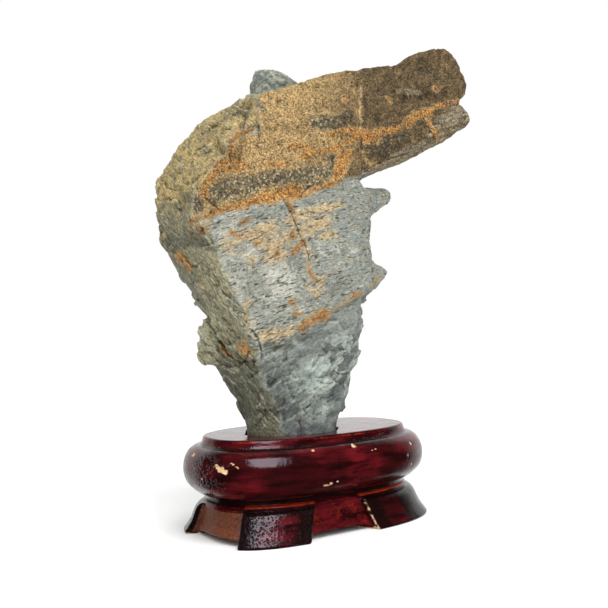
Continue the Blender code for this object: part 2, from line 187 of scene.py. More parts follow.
# Markings of the rock's front: each is its half width, then u and z of every point of its line.
FRONT_MARKS = {
    "rust": [
        (1.1, -60, 167.5, -51, 168.5), (1.5, -51, 169, -41.5, 171.5, -32, 173.5),
        (2.2, -32, 173.5, -20.5, 177, -13.5, 179.5), (3.4, -17, 178.5, -9.5, 180, -2, 182.5),
        (1.7, -2, 179, 2, 180, 7, 182), (1.0, 2, 181, 12, 184.5, 19, 187),
        (2.8, 21, 191, 23, 196.5, 25, 202.5), (1.1, 28.5, 205, 27, 200.5, 22.5, 193.5),
        (1.2, 1.5, 201, 11.5, 204.5, 19.5, 205.5), (1.5, 19.5, 206, 26.5, 211, 32, 214),
        (3.4, 33, 215.5, 39, 213.5, 43.5, 216), (1.6, 43.5, 216.5, 50.5, 218, 58, 220.5),
        (1.3, 17.5, 213.5, 25.5, 217, 33.5, 218.5), (0.9, -17.5, 196, -11.5, 195.5, -5, 197),
        (1.9, -41.5, 195.5, -33.5, 194, -28, 196), (1.3, -45, 198, -38.5, 199, -31.5, 198.5),
        (1.3, -43, 195, -47, 190.5, -50, 186.5), (1.1, -50, 186.5, -52, 183.5, -50, 180),
        (1.5, -25, 215.5, -31.5, 213.5, -36, 210.5), (1.1, -36.5, 210, -37.5, 205.5, -34.5, 202),
        (1.7, -4.5, 206, -0.5, 207, 5, 206.5), (2.4, 63, 223.5, 68, 228.5, 75.5, 231),
        (1.1, 75.5, 231.5, 80.5, 235, 85, 236), (1.0, 85, 235, 90, 238, 94, 238),
        (1.0, 75, 226.5, 78, 222, 80.5, 217.5), (1.0, 27, 234.5, 25, 234), (1.1, 51, 237.5, 52.5, 235.5),
        (1.2, 79.5, 245.5, 81, 244), (1.3, -5, 159, -4.5, 156.5), (1.2, 1, 154, -1.5, 151),
        (1.6, -2.5, 150, -4.5, 148), (0.9, -12.5, 149, -13.5, 147), (1.2, -36.5, 159.5, -34, 157.5),
        (1.3, -55, 163.5, -52.5, 160.5), (1.2, -83, 170, -82, 166.5),
        (1.9, -69, 150.5, -65.5, 147, -62, 143), (0.9, -6.5, 122, -4, 119.5), (1.2, -4.5, 116, -2, 115),
        (1.8, -2, 108, 3, 111), (2.6, 3.5, 111.5, 7.5, 113, 11, 115), (1.3, 28, 124.5, 31, 126),
        (2.1, -33, 98.5, -31, 96.5), (1.1, -45, 100, -43, 96, -39, 94), (0.9, 3, 143, 4.5, 138.5, 6, 134),
        (0.8, -31.5, 165, -28, 166), (1.0, -7.5, 177.5, -5.5, 173.5, -4, 170), (0.8, -21, 155, -24, 152),
        (0.9, 99, 259, 99, 254.5),
    ],
    "tan": [
        (5.0, -16, 233.5, -4, 236.5, 4.5, 235.5), (4.5, -21.5, 227.5, -19.5, 221, -18.5, 215),
        (3.9, -6.5, 225.5, 1, 228), (2.8, -31.5, 209.5, -26, 212), (2.2, -35, 206, -32, 202),
        (2.0, -47, 187.5, -48, 182), (1.1, 36, 243, 35, 233, 35, 222.5),
        (1.7, 36, 202, 39.5, 198.5, 43, 199), (1.1, 35, 205, 36, 201),
        (0.9, 63, 219.5, 65.5, 213.5, 72.5, 213), (0.9, 83, 222.5, 84.5, 219, 82.5, 216),
        (1.9, -11.5, 192.5, -8.5, 189), (1.3, -20, 199.5, -12.5, 203), (1.7, 24.5, 194.5, 28, 200.5),
        (1.9, -59, 198, -61.5, 195.5), (1.2, -54, 192, -50, 190), (2.8, -33.5, 215.5, -28, 218),
        (3.4, 10.5, 213, 19.5, 211.5), (1.3, -29.5, 123.5, -30, 115, -29, 107.5),
        (0.9, -30.5, 104.5, -30.5, 98), (1.5, 14.5, 117, 22, 121, 29.5, 125.5), (1.7, 38, 130, 44.5, 136.5),
        (1.3, -60.5, 164, -50.5, 164.5, -47, 167), (1.1, -57.5, 133, -54.5, 128),
    ],
    "shade": [
        (4.6, -44, 181, -36, 182.5, -27.5, 184.5), (3.2, -26.5, 185, -20, 187, -12, 189),
        (3.0, -8, 188, 2, 190, 10, 193), (2.2, 4.5, 184, 10, 186), (2.2, 13.5, 192, 18, 195.5, 19, 200),
        (4.5, 44.5, 209, 48, 213, 50.5, 209.5), (3.4, 55, 213, 60.5, 217.5),
        (2.8, -64, 182.5, -59, 179, -55, 175), (1.7, -69.5, 178, -64, 174.5),
        (2.8, 10, 220.5, 20, 220.5, 28, 224.5), (1.1, -24, 234, -21.5, 230, -18.5, 226.5),
        (1.9, -35, 227, -28.5, 226), (1.2, -22.5, 217, -21.5, 215), (1.7, -47, 197, -44, 197.5),
        (3.9, -72.5, 159.5, -63, 158, -54.5, 155.5), (2.2, -52, 154, -46.5, 150.5),
        (2.0, -19, 100, -10.5, 97.5, -7.5, 99.5), (2.8, -16, 64, -12.5, 72, -11.5, 66),
        (2.2, 13.5, 83, 19, 79.5, 22, 79), (1.7, 12.5, 98, 11.5, 95), (1.7, 71, 254, 75.5, 256.5),
    ],
    "blue": [
        (1.9, -33.5, 162, -26, 165), (2.5, -26, 165.5, -18.5, 168, -11, 169.5), (1.7, -2.5, 173.5, 2, 175),
        (3.1, 3, 176, 9.5, 178.5, 15, 181), (3.9, 15, 181, 22.5, 185.5, 30.5, 191),
        (2.0, 30.5, 191, 34, 188.5, 36, 186), (2.6, -79, 179, -72, 178.5, -67, 177.5),
        (2.5, 31.5, 206, 31, 199.5, 29.5, 193.5), (2.8, -39, 141.5, -32.5, 140.5, -26.5, 139),
        (3.1, -30, 130, -24.5, 126.5, -19.5, 126.5), (2.2, -6, 143, -2.5, 135.5, 0.5, 128),
        (1.9, 0.5, 128, 3.5, 121.5, 7, 117.5), (2.8, -33.5, 150, -29.5, 152),
        (3.9, 14.5, 128, 22.5, 131, 29, 134.5), (1.7, -24, 249.5, -19, 250),
    ],
    "white": [
        (3.4, -42, 160, -37.5, 161, -33.5, 164), (3.4, -30.5, 152, -28.5, 149), (5.6, -16, 138, -13, 131.5),
        (5.0, -17, 128.5, -9, 127), (4.5, -9.5, 137, -7.5, 130.5), (2.2, -23.5, 128.5, -21.5, 125.5),
        (1.7, -5.5, 140, -3.5, 135.5), (2.2, -10.5, 142, -7.5, 141), (2.8, -36, 134, -33, 131),
        (0.9, 9, 151.5, 10, 148.5, 14, 146), (0.9, 18.5, 151.5, 20.5, 147.5), (1.1, 31, 216.5, 32.5, 217),
        (1.9, -21, 93, -17, 90.5), (2.8, -2.5, 96.5, 5, 99.5), (1.2, 27.5, 148.5, 30.5, 149.5),
    ],
    "speckle": [
        (4.5, -31.5, 156.5, -23, 158.5, -15.5, 160.5), (3.9, -17.5, 152, -9, 155),
        (2.8, -6, 164.5, -2.5, 168, 6, 170), (2.2, 6, 170, 14, 172.5, 20.5, 175),
        (2.8, -0.5, 159, 7, 162.5, 13.5, 165), (3.4, -39, 153.5, -34.5, 152),
        (2.8, -18, 145.5, -10.5, 146.5), (1.7, 11, 157, 18, 158.5), (1.3, 3, 130, 8, 124.5),
        (2.2, -22, 104.5, -14.5, 105, -7, 107), (1.7, 4.5, 147, 2.5, 151.5),
        (1.7, -26, 145.5, -27.5, 140.5), (1.7, -56.5, 164.5, -49.5, 162.5), (1.7, 8.5, 133.5, 11.5, 128),
    ],
    "crack": [
        (0.4, -54, 112.5, -47.5, 105, -44.5, 99.5), (0.7, -44.5, 99.5, -41.5, 95, -38, 92.5),
        (0.4, -38, 92.5, -33.5, 90, -30.5, 93, -29, 96), (0.4, -27, 107.5, -24, 103.5, -22.5, 97),
        (0.25, -10, 178.5, -7, 173, -3.5, 165.5, -0.5, 157, 2.5, 151.5, 4, 144),
        (0.5, 35, 212, 34.5, 203, 35, 195), (0.4, -50, 178, -47, 175.5, -43.5, 172),
        (0.3, -3.5, 58, -3, 52.5), (0.3, 16, 84, 20, 82.5, 23, 82.5), (0.3, 68.5, 254.5, 72.5, 257.5),
        (0.4, 86.5, 236, 90, 237.5), (0.4, 93, 236, 96.5, 238.5), (0.4, -22.5, 219.5, -19.5, 213),
        (0.3, -21.5, 214, -21, 209.5), (0.3, 5, 185, 0, 179),
        (0.4, 36, 195, 43, 199, 51.5, 203, 61.5, 207.5), (0.3, 80, 215.5, 76, 220.5),
        (0.3, -27.5, 120, -24.5, 123.5), (0.3, -22.5, 95.5, -22.5, 92), (0.3, -58, 210, -52.5, 211),
    ],
    "vein": [
        (0.3, -22.5, 94, -19, 92, -16, 89.5, -15.5, 86, -17.5, 83),
        (0.3, 35.5, 244, 35.5, 235.5, 34.5, 223.5, 35, 212), (0.3, -62.5, 135.5, -57.5, 130.5, -54, 126),
        (0.3, -53.5, 123, -49, 117, -44.5, 110.5), (0.3, -37.5, 114, -33, 110),
        (0.3, -34, 80, -28.5, 73.5, -23.5, 67), (0.3, -27.5, 65, -23.5, 59.5, -20.5, 54.5),
        (0.3, -80.5, 171, -74, 165.5, -67, 159.5), (0.3, -22.5, 257, -18, 252.5, -21.5, 247.5),
        (0.3, -15.5, 259, -11, 253), (0.3, -35, 83.5, -31.5, 79), (0.3, -16.5, 77.5, -12, 81),
        (0.3, -9, 83, -0.5, 89, 9.5, 93), (0.3, -3, 67.5, 5.5, 73.5, 13.5, 77.5),
        (0.3, -30, 117, -27, 112, -28, 107.5), (0.3, -78, 175, -75.5, 171.5), (0.3, 76.5, 227.5, 78.5, 223),
        (0.3, 82.5, 231.5, 86, 227), (0.3, 13, 149.5, 17.5, 146, 21.5, 147.5),
        (0.3, -49, 137, -46, 131.5, -43, 128), (0.3, -44, 88.5, -37, 84.5),
    ],
}

# Markings of the unseen back, in the manner of the front.
BACK_MARKS = {
    "rust": [
        (3.0, -30, 196, 0, 203, 30, 212, 60, 221, 95, 236), (2.6, -20, 182, 10, 189, 36, 197),
        (2.0, -52, 160, -20, 168, 20, 178), (2.2, 10, 120, 24, 126), (2.5, -60, 190, -48, 196),
    ],
    "tan": [
        (7.0, -8, 224, 14, 230), (5.0, -66, 200, -50, 210), (1.2, 38, 250, 37, 226, 38, 206),
    ],
    "shade": [
        (6.0, 0, 196, 26, 203), (5.0, 50, 230, 84, 240), (4.0, -60, 150, -44, 154),
    ],
    "blue": [
        (3.2, -14, 180, 10, 185, 34, 192), (3.0, -30, 130, 0, 138),
    ],
    "white": [
        (6.0, -20, 150, 0, 156), (3.0, 14, 140, 24, 146),
    ],
    "speckle": [
        (6.0, -30, 168, 20, 176), (3.0, -20, 104, 10, 112),
    ],
    "crack": [
        (0.7, -30, 206, -34, 180, -30, 150), (0.6, 20, 170, 16, 130, 20, 100),
    ],
    "vein": [
        (0.6, -40, 140, -10, 128, 20, 120), (0.6, -20, 90, 0, 76, 12, 60),
    ],
}
MARK_REACH = 4.0
THIN_MARKS = ("crack", "vein")
SIDE_LIMIT = 9.0

# Chips in the top board's lacquer: angle round the oval in degrees, height, and half size across and up.
TOP_CHIPS = [
    (-159.6, 40.3, 1.1, 1.0), (-157.8, 39.6, 1.4, 1.1), (-155.4, 38.7, 1.7, 1.3), (-153.0, 37.8, 1.7, 1.0),
    (-151.6, 37.2, 1.0, 0.7), (-148.9, 41.9, 0.9, 0.35), (-147.4, 41.3, 0.9, 0.3), (-145.8, 40.4, 0.8, 0.3),
    (-144.2, 39.6, 0.6, 0.4), (-89.0, 45.3, 1.3, 0.9), (-104.5, 45.5, 0.9, 0.4), (-82.7, 42.3, 1.1, 0.4),
    (-81.0, 42.6, 0.6, 0.3), (-54.1, 41.8, 0.7, 0.9), (-60.6, 36.3, 0.35, 1.5), (-56.1, 30.5, 0.6, 0.9),
    (-99.6, 27.8, 1.5, 0.8), (-97.8, 28.3, 1.1, 0.7), (-95.2, 29.0, 0.6, 0.5), (178.0, 43.3, 1.2, 0.8),
    (-171.0, 33.0, 0.6, 0.5), (-174.0, 29.5, 0.6, 0.5), (62.0, 40.0, 1.2, 0.7), (121.0, 34.0, 1.0, 1.2),
]

# The stone's colours, as linear reflectances: its own, with some painted light and shade among them, such as
# the dark shadow of hollows, the paler knob and the pale ridges.
STONE = {
    "gold": (0.42, 0.272, 0.108), "tan": (0.36, 0.25, 0.112), "slab_dark": (0.085, 0.08, 0.054),
    "slab_pale": (0.45, 0.355, 0.195), "arm": (0.13, 0.086, 0.038), "arm_dark": (0.062, 0.044, 0.022),
    "under": (0.29, 0.25, 0.17), "orange": (0.47, 0.232, 0.06), "rust_deep": (0.27, 0.112, 0.024),
    "brown_line": (0.09, 0.04, 0.014), "front": (0.27, 0.285, 0.238), "front_cool": (0.215, 0.245, 0.222),
    "front_pale": (0.42, 0.425, 0.37), "blue": (0.22, 0.235, 0.195), "blue_pale": (0.37, 0.38, 0.32),
    "dash": (0.075, 0.07, 0.052), "olive": (0.31, 0.288, 0.176), "olive_dark": (0.165, 0.158, 0.095),
    "olive_low": (0.085, 0.09, 0.06), "beige": (0.36, 0.315, 0.185), "shoulder": (0.52, 0.38, 0.15),
    "shoulder_low": (0.245, 0.218, 0.12), "root": (0.41, 0.467, 0.417), "root_dark": (0.12, 0.137, 0.13),
    "knob": (0.56, 0.55, 0.36), "peak": (0.31, 0.322, 0.25), "vein": (0.5, 0.48, 0.38),
    "shadow": (0.03, 0.026, 0.018), "front_left": (0.46, 0.47, 0.4), "white": (0.5, 0.5, 0.44),
    "freckle": (0.56, 0.39, 0.18), "blue_right": (0.18, 0.185, 0.155), "glint": (0.6, 0.6, 0.53),
    "root_mid": (0.29, 0.32, 0.29), "root_low": (0.075, 0.085, 0.082), "root_top_dark": (0.1, 0.112, 0.104),
    "root_top": (0.26, 0.285, 0.25), "root_line": (0.4, 0.42, 0.36), "side_dark": (0.07, 0.072, 0.045),
    "side_pale": (0.3, 0.285, 0.185), "side_groove": (0.085, 0.088, 0.055),
    "side_grey": (0.21, 0.225, 0.185), "arm_pale": (0.2, 0.145, 0.072), "grey_shade": (0.075, 0.08, 0.062),
    "ridge_highlight": (0.5, 0.5, 0.43),
}

# The lacquer's colours, and those of the wood that shows where it has worn or chipped. The near-black pooled
# colour stands both for lacquer pooled thick and for painted shade.
LACQUER = {
    "dark": (0.014, 0.001, 0.0016), "clear": (0.112, 0.0054, 0.009), "deep": (0.011, 0.0016, 0.0018),
    "thinned": (0.34, 0.028, 0.008), "pooled_and_shade": (0.006, 0.0022, 0.002), "chip_rim": (0.13, 0.035, 0.012),
    "end_dark": (0.075, 0.014, 0.006), "end_pale": (0.21, 0.058, 0.016),
    "wood_dark": (0.52, 0.31, 0.15), "wood_pale": (0.8, 0.6, 0.38),
}


def fade(values, low, high):
    """A smooth step: 0 at low, 1 at high, with level ends."""
    share = np.clip((values - low) / (high - low), 0.0, 1.0)
    return share * share * (3.0 - 2.0 * share)


def hump(values, middle, width):
    """A bell: 1 at the middle, falling as the exponential of minus the squared distance in widths."""
    return np.exp(-((values - middle) / width) ** 2)


def lattice_number(cell, seed):
    """A fixed number from 0 to 1 for each whole-number cell, from a multiply-and-fold hash of its indices."""
    key = cell @ np.array([374761393, 668265263, 2147483647]) + seed * 974634777
    key = (key ^ (key >> 13)) * 1274126177
    return ((key ^ (key >> 16)) & 0xFFFF) / 65535.0


def smooth_noise(points, size, seed):
    """Noise from -1 to 1: lattice numbers of a point's eight corners, blended by smooth steps."""
    cell = np.floor(points / size).astype(np.int64)
    inside = points / size - cell
    blend = inside * inside * (3.0 - 2.0 * inside)
    total = np.zeros(len(points))
    for corner in range(8):
        step = np.array([corner & 1, (corner >> 1) & 1, (corner >> 2) & 1])
        share = np.prod(np.where(step == 1, blend, 1.0 - blend), axis=1)
        total += share * (lattice_number(cell + step, seed) * 2.0 - 1.0)
    return total


def broken_faces(points, size, tilt, seed):
    """Chipped facets: a point takes the height and slope of the nearest of one random centre in each cell.

    Each cell of the lattice holds one centre. The nearest of the 27 around a point gives it a level from
    -1 to 1 plus a plane's slope, so that neighbouring facets meet in sharp edges and small steps.
    """
    scaled = points / size
    cell = np.floor(scaled).astype(np.int64)
    nearest = np.full(len(points), 1e9)
    level = np.zeros(len(points))
    for step in np.ndindex(3, 3, 3):
        there = cell + np.array(step) - 1
        centre = there + np.stack([lattice_number(there, seed + axis) for axis in range(3)], axis=1)
        away = scaled - centre
        gap = (away ** 2).sum(axis=1)
        slope = np.stack([lattice_number(there, seed + 5 + axis) - 0.5 for axis in range(3)], axis=1)
        height = lattice_number(there, seed + 9) * 2.0 - 1.0 + tilt * (away * slope).sum(axis=1)
        closer = gap < nearest
        level = np.where(closer, height, level)
        nearest = np.where(closer, gap, nearest)
    return level


def line_distance(places, line):
    """Distance from each place to the nearest point of a line of straight stretches, in the u and z plane."""
    line = np.array(line, dtype=float)
    nearest = np.full(len(places), 1e9)
    for start, stop in zip(line[:-1], line[1:]):
        along = stop - start
        share = np.clip((places - start) @ along / (along @ along), 0.0, 1.0)
        nearest = np.minimum(nearest, np.linalg.norm(places - start - share[:, None] * along, axis=1))
    return nearest


def inside_outline(places, outline, softness):
    """How far inside a closed outline a place lies: 0.5 on the line, 1 well inside, 0 well outside.

    A ray to the right crosses the outline an odd number of times from an inside place. The distance to the
    line is then counted as positive inside and negative outside, and divided by twice the softness.
    """
    outline = np.array(outline, dtype=float)
    after = np.roll(outline, -1, axis=0)
    inside = np.zeros(len(places), dtype=bool)
    for start, stop in zip(outline, after):
        spans = (start[1] > places[:, 1]) != (stop[1] > places[:, 1])
        rise = stop[1] - start[1]
        crossing = start[0] + (places[:, 1] - start[1]) * (stop[0] - start[0]) / (rise if rise else 1e-9)
        inside ^= spans & (places[:, 0] < crossing)
    gap = line_distance(places, np.vstack([outline, outline[:1]]))
    return np.clip(0.5 + np.where(inside, gap, -gap) / (2.0 * softness), 0.0, 1.0)


def mark_lines(marks):
    """Each mark's half width, and its line as an array of points in u and z."""
    for half_width, *numbers in marks:
        yield half_width, np.array(numbers, dtype=float).reshape(-1, 2)


def mark_strength(places, marks):
    """The strongest of some marks: 1 on a mark's line, 0.5 at its half width, falling straight to 0."""
    strength = np.zeros(len(places))
    for half_width, line in mark_lines(marks):
        reach = max(2.0 * half_width, half_width + MARK_REACH / 2.0)
        gap = line_distance(places, line)
        near = 1.0 - 0.5 * gap / half_width
        far = 0.5 - 0.5 * (gap - half_width) / (reach - half_width)
        strength = np.maximum(strength, np.where(gap < half_width, near, far))
    return strength


def line_sides(places, marks):
    """Signed distance across the nearest thin line, in half widths, and the plain distance in millimetres.

    The sign is the side of the line's nearest stretch. The value passes straight through 0 on the line, so a
    mesh carries a line thinner than its own spacing. Past a line's end the plain distance masks it.
    """
    side = np.full(len(places), SIDE_LIMIT)
    gap = np.full(len(places), SIDE_LIMIT)
    for half_width, line in mark_lines(marks):
        for start, stop in zip(line[:-1], line[1:]):
            along = stop - start
            share = np.clip((places - start) @ along / (along @ along), 0.0, 1.0)
            away = places - start - share[:, None] * along
            distance = np.linalg.norm(away, axis=1)
            turn = np.where(along[0] * away[:, 1] > along[1] * away[:, 0], 1.0, -1.0)
            closer = distance < gap
            side = np.where(closer, turn * distance / half_width, side)
            gap = np.where(closer, distance, gap)
    return side, gap


def ledges(across, thickness, seed):
    """Saw-tooth beds: each rises as the power 1.5 of the way across it, to its own height from 0.35 to 1."""
    place = across / thickness
    number = np.floor(place)
    part = place - number
    cell = np.stack([number, number * 0.0, number * 0.0], axis=1).astype(np.int64)
    return (part ** 1.5 - 0.4) * (0.35 + 0.65 * lattice_number(cell, seed))


def mesh_points(mesh):
    values = np.empty(len(mesh.vertices) * 3, dtype=np.float32)
    mesh.vertices.foreach_get("co", values)
    return values.reshape(-1, 3).astype(float) / MM


def mesh_normals(mesh):
    values = np.empty(len(mesh.vertices) * 3, dtype=np.float32)
    mesh.vertex_normals.foreach_get("vector", values)
    return values.reshape(-1, 3).astype(float)


def mesh_edges(mesh):
    values = np.empty(len(mesh.edges) * 2, dtype=np.int32)
    mesh.edges.foreach_get("vertices", values)
    return values.reshape(-1, 2)


def write_points(mesh, points):
    mesh.vertices.foreach_set("co", (points * MM).astype(np.float32).ravel())
    mesh.update()


def write_attribute(mesh, name, values):
    layer = mesh.attributes.new(name, "FLOAT", "POINT")
    layer.data.foreach_set("value", np.asarray(values, dtype=np.float32))


def neighbour_mean(points, edges):
    """Each vertex's neighbours averaged: sums over the edges, both ways, divided by the count of edges."""
    count = len(points)
    both = np.concatenate([edges, edges[:, ::-1]])
    degree = np.bincount(both[:, 0], minlength=count).clip(1)
    sums = [np.bincount(both[:, 0], weights=points[both[:, 1], axis], minlength=count) for axis in range(3)]
    return np.stack(sums, axis=1) / degree[:, None]


def soften(points, edges, rounds, share):
    """Move each vertex towards its neighbours' mean by a share, and repeat."""
    for _ in range(rounds):
        points = points + share * (neighbour_mean(points, edges) - points)
    return points


def grid_object(name, rows, material, values):
    """A closed surface from rings: rows is an array (ring, column, 3), from the top's centre to the bottom's.

    Every ring joins the next with a band of quads that wraps round. The first and last rings close on a
    centre point each, so that the surface has no hole. The values become attributes of the points.
    """
    ring_count, column_count, _ = rows.shape
    index = np.arange(ring_count * column_count).reshape(ring_count, column_count)
    after = np.roll(index, -1, axis=1)
    bands = np.stack([index[:-1], index[1:], after[1:], after[:-1]], axis=-1).reshape(-1, 4)
    points = rows.reshape(-1, 3)
    faces = bands.tolist()
    top, bottom = len(points), len(points) + 1
    points = np.vstack([points, rows[0].mean(axis=0), rows[-1].mean(axis=0)])
    faces += [(top, first, second) for first, second in zip(index[0].tolist(), after[0].tolist())]
    faces += [(bottom, second, first) for first, second in zip(index[-1].tolist(), after[-1].tolist())]
    points = points + np.array([MIDDLE[0], MIDDLE[1], 0.0])
    mesh = bpy.data.meshes.new(name)
    mesh.from_pydata((points * MM).tolist(), [], faces)
    mesh.validate()
    mesh.materials.append(material)
    mesh.shade_smooth()
    for key, value in values.items():
        value = np.broadcast_to(value, (ring_count, column_count))
        write_attribute(mesh, key, np.append(value.ravel(), [value[0, 0], value[-1, 0]]))
    made = bpy.data.objects.new(name, mesh)
    bpy.context.scene.collection.objects.link(made)
    return made


class Wire:
    """A value socket that arithmetic works on: each operation adds one Math node to its finish."""

    def __init__(self, finish, socket):
        self.finish = finish
        self.socket = socket

    def _math(self, operation, first, second):
        return self.finish.node("ShaderNodeMath", {"operation": operation}, {0: first, 1: second})

    def __add__(self, other):
        return self._math("ADD", self, other)

    __radd__ = __add__

    def __sub__(self, other):
        return self._math("SUBTRACT", self, other)

    def __rsub__(self, other):
        return self._math("SUBTRACT", other, self)

    def __mul__(self, other):
        return self._math("MULTIPLY", self, other)

    __rmul__ = __mul__

    def __abs__(self):
        return self.finish.node("ShaderNodeMath", {"operation": "ABSOLUTE"}, {0: self})


class Finish:
    """A node tree being wired: node() adds any node, and the other methods are names for the usual ones.

    Where a method takes a colour, the name of one in the palette serves too.
    """

    def __init__(self, owner, palette=None):
        owner.use_nodes = True
        self.tree = owner.node_tree
        self.tree.nodes.clear()
        self.palette = palette

    def node(self, kind, settings=None, sockets=None, output=0):
        """Add a node: its settings first, then its sockets' values or links. It gives one of its outputs."""
        made = self.tree.nodes.new(kind)
        for name, value in (settings or {}).items():
            setattr(made, name, value)
        for name, value in (sockets or {}).items():
            if isinstance(value, Wire):
                self.tree.links.new(value.socket, made.inputs[name])
            elif isinstance(value, (tuple, list)) and len(value) == 3 and made.inputs[name].type == "RGBA":
                made.inputs[name].default_value = (*value, 1.0)
            else:
                made.inputs[name].default_value = value
        return Wire(self, made.outputs[output]) if len(made.outputs) else made

    def millimetres(self, rotation=(0.0, 0.0, 0.0), location=(0.0, 0.0, 0.0)):
        """The piece's own coordinates in millimetres, turned and then moved."""
        place = self.node("ShaderNodeTexCoord", None, None, "Object")
        return self.mapped(place, (1.0 / MM,) * 3, rotation, location)

    def mapped(self, vector, scale=(1.0, 1.0, 1.0), rotation=(0.0, 0.0, 0.0), location=(0.0, 0.0, 0.0)):
        sockets = {"Vector": vector, "Scale": scale, "Rotation": rotation, "Location": location}
        return self.node("ShaderNodeMapping", None, sockets)

    def sloped(self, vector, degrees):
        """A vector turned so that its z axis lies across beds that rise to the right at an angle."""
        return self.mapped(vector, rotation=(0.0, math.radians(degrees), 0.0))

    def warped(self, vector, size, amount):
        """A vector pushed about by noise of the given size, by up to about half the amount each way."""
        sockets = {"Vector": vector, "Scale": 1.0 / size, "Detail": 2.0}
        push = self.node("ShaderNodeTexNoise", None, sockets, "Color")
        push = self.node("ShaderNodeVectorMath", {"operation": "SUBTRACT"}, {0: push, 1: (0.5, 0.5, 0.5)})
        push = self.node("ShaderNodeVectorMath", {"operation": "SCALE"}, {0: push, "Scale": amount})
        return self.node("ShaderNodeVectorMath", {"operation": "ADD"}, {0: vector, 1: push})

    def noise(self, vector, size, detail, roughness, distortion=0.0):
        """Noise about 0.5 whose lumps are of the given size in the vector's units."""
        sockets = {"Vector": vector, "Scale": 1.0 / size, "Detail": detail, "Roughness": roughness}
        sockets["Distortion"] = distortion
        return self.node("ShaderNodeTexNoise", None, sockets)

    def stretched(self, vector, scale, size, detail, roughness):
        """Noise whose lumps are drawn out along each axis by one over its scale."""
        return self.noise(self.mapped(vector, scale), size, detail, roughness)

    def grains(self, vector, size):
        """A random grey for each of many small cells."""
        return self.node("ShaderNodeTexVoronoi", None, {"Vector": vector, "Scale": 1.0 / size}, "Color")

    def chips(self, vector, warp_size, warp_amount, scale, size):
        """A random grey for each of many stretched cells whose edges are pushed about by noise."""
        return self.grains(self.mapped(self.warped(vector, warp_size, warp_amount), scale), size)

    def attribute(self, name):
        return self.node("ShaderNodeAttribute", {"attribute_name": name}, None, "Fac")

    def step(self, value, low, high):
        """A smooth step: 0 at low, 1 at high."""
        sockets = {"Value": value, "From Min": low, "From Max": high}
        return self.node("ShaderNodeMapRange", {"interpolation_type": "SMOOTHSTEP"}, sockets)

    def mix(self, share, first, second, blend="MIX"):
        """A colour between two: all of the first at share 0, all of the second at 1."""
        colours = [self.palette[colour] if isinstance(colour, str) else colour for colour in (first, second)]
        settings = {"data_type": "RGBA", "blend_type": blend, "clamp_factor": True}
        return self.node("ShaderNodeMix", settings, {0: share, 6: colours[0], 7: colours[1]}, 2)

    def coat(self, under, over, value, low, high, strength=1.0):
        """A colour with another over it at a strength, where a value has passed from low to high."""
        return self.mix(self.step(value, low, high) * strength, under, over)

    def largest(self, first, second):
        return self.node("ShaderNodeMath", {"operation": "MAXIMUM"}, {0: first, 1: second})


def make_surface(name, colour, roughness, height, bump_m, constants):
    """Hook a base colour, roughness and bump height to the material's one shader."""
    finish = colour.finish
    bump = finish.node("ShaderNodeBump", None, {"Strength": 1.0, "Distance": bump_m, "Height": height})
    sockets = {"Base Color": colour, "Roughness": roughness, "Normal": bump, **constants}
    shader = finish.node("ShaderNodeBsdfPrincipled", {"name": name}, sockets)
    finish.node("ShaderNodeOutputMaterial", None, {"Surface": shader})


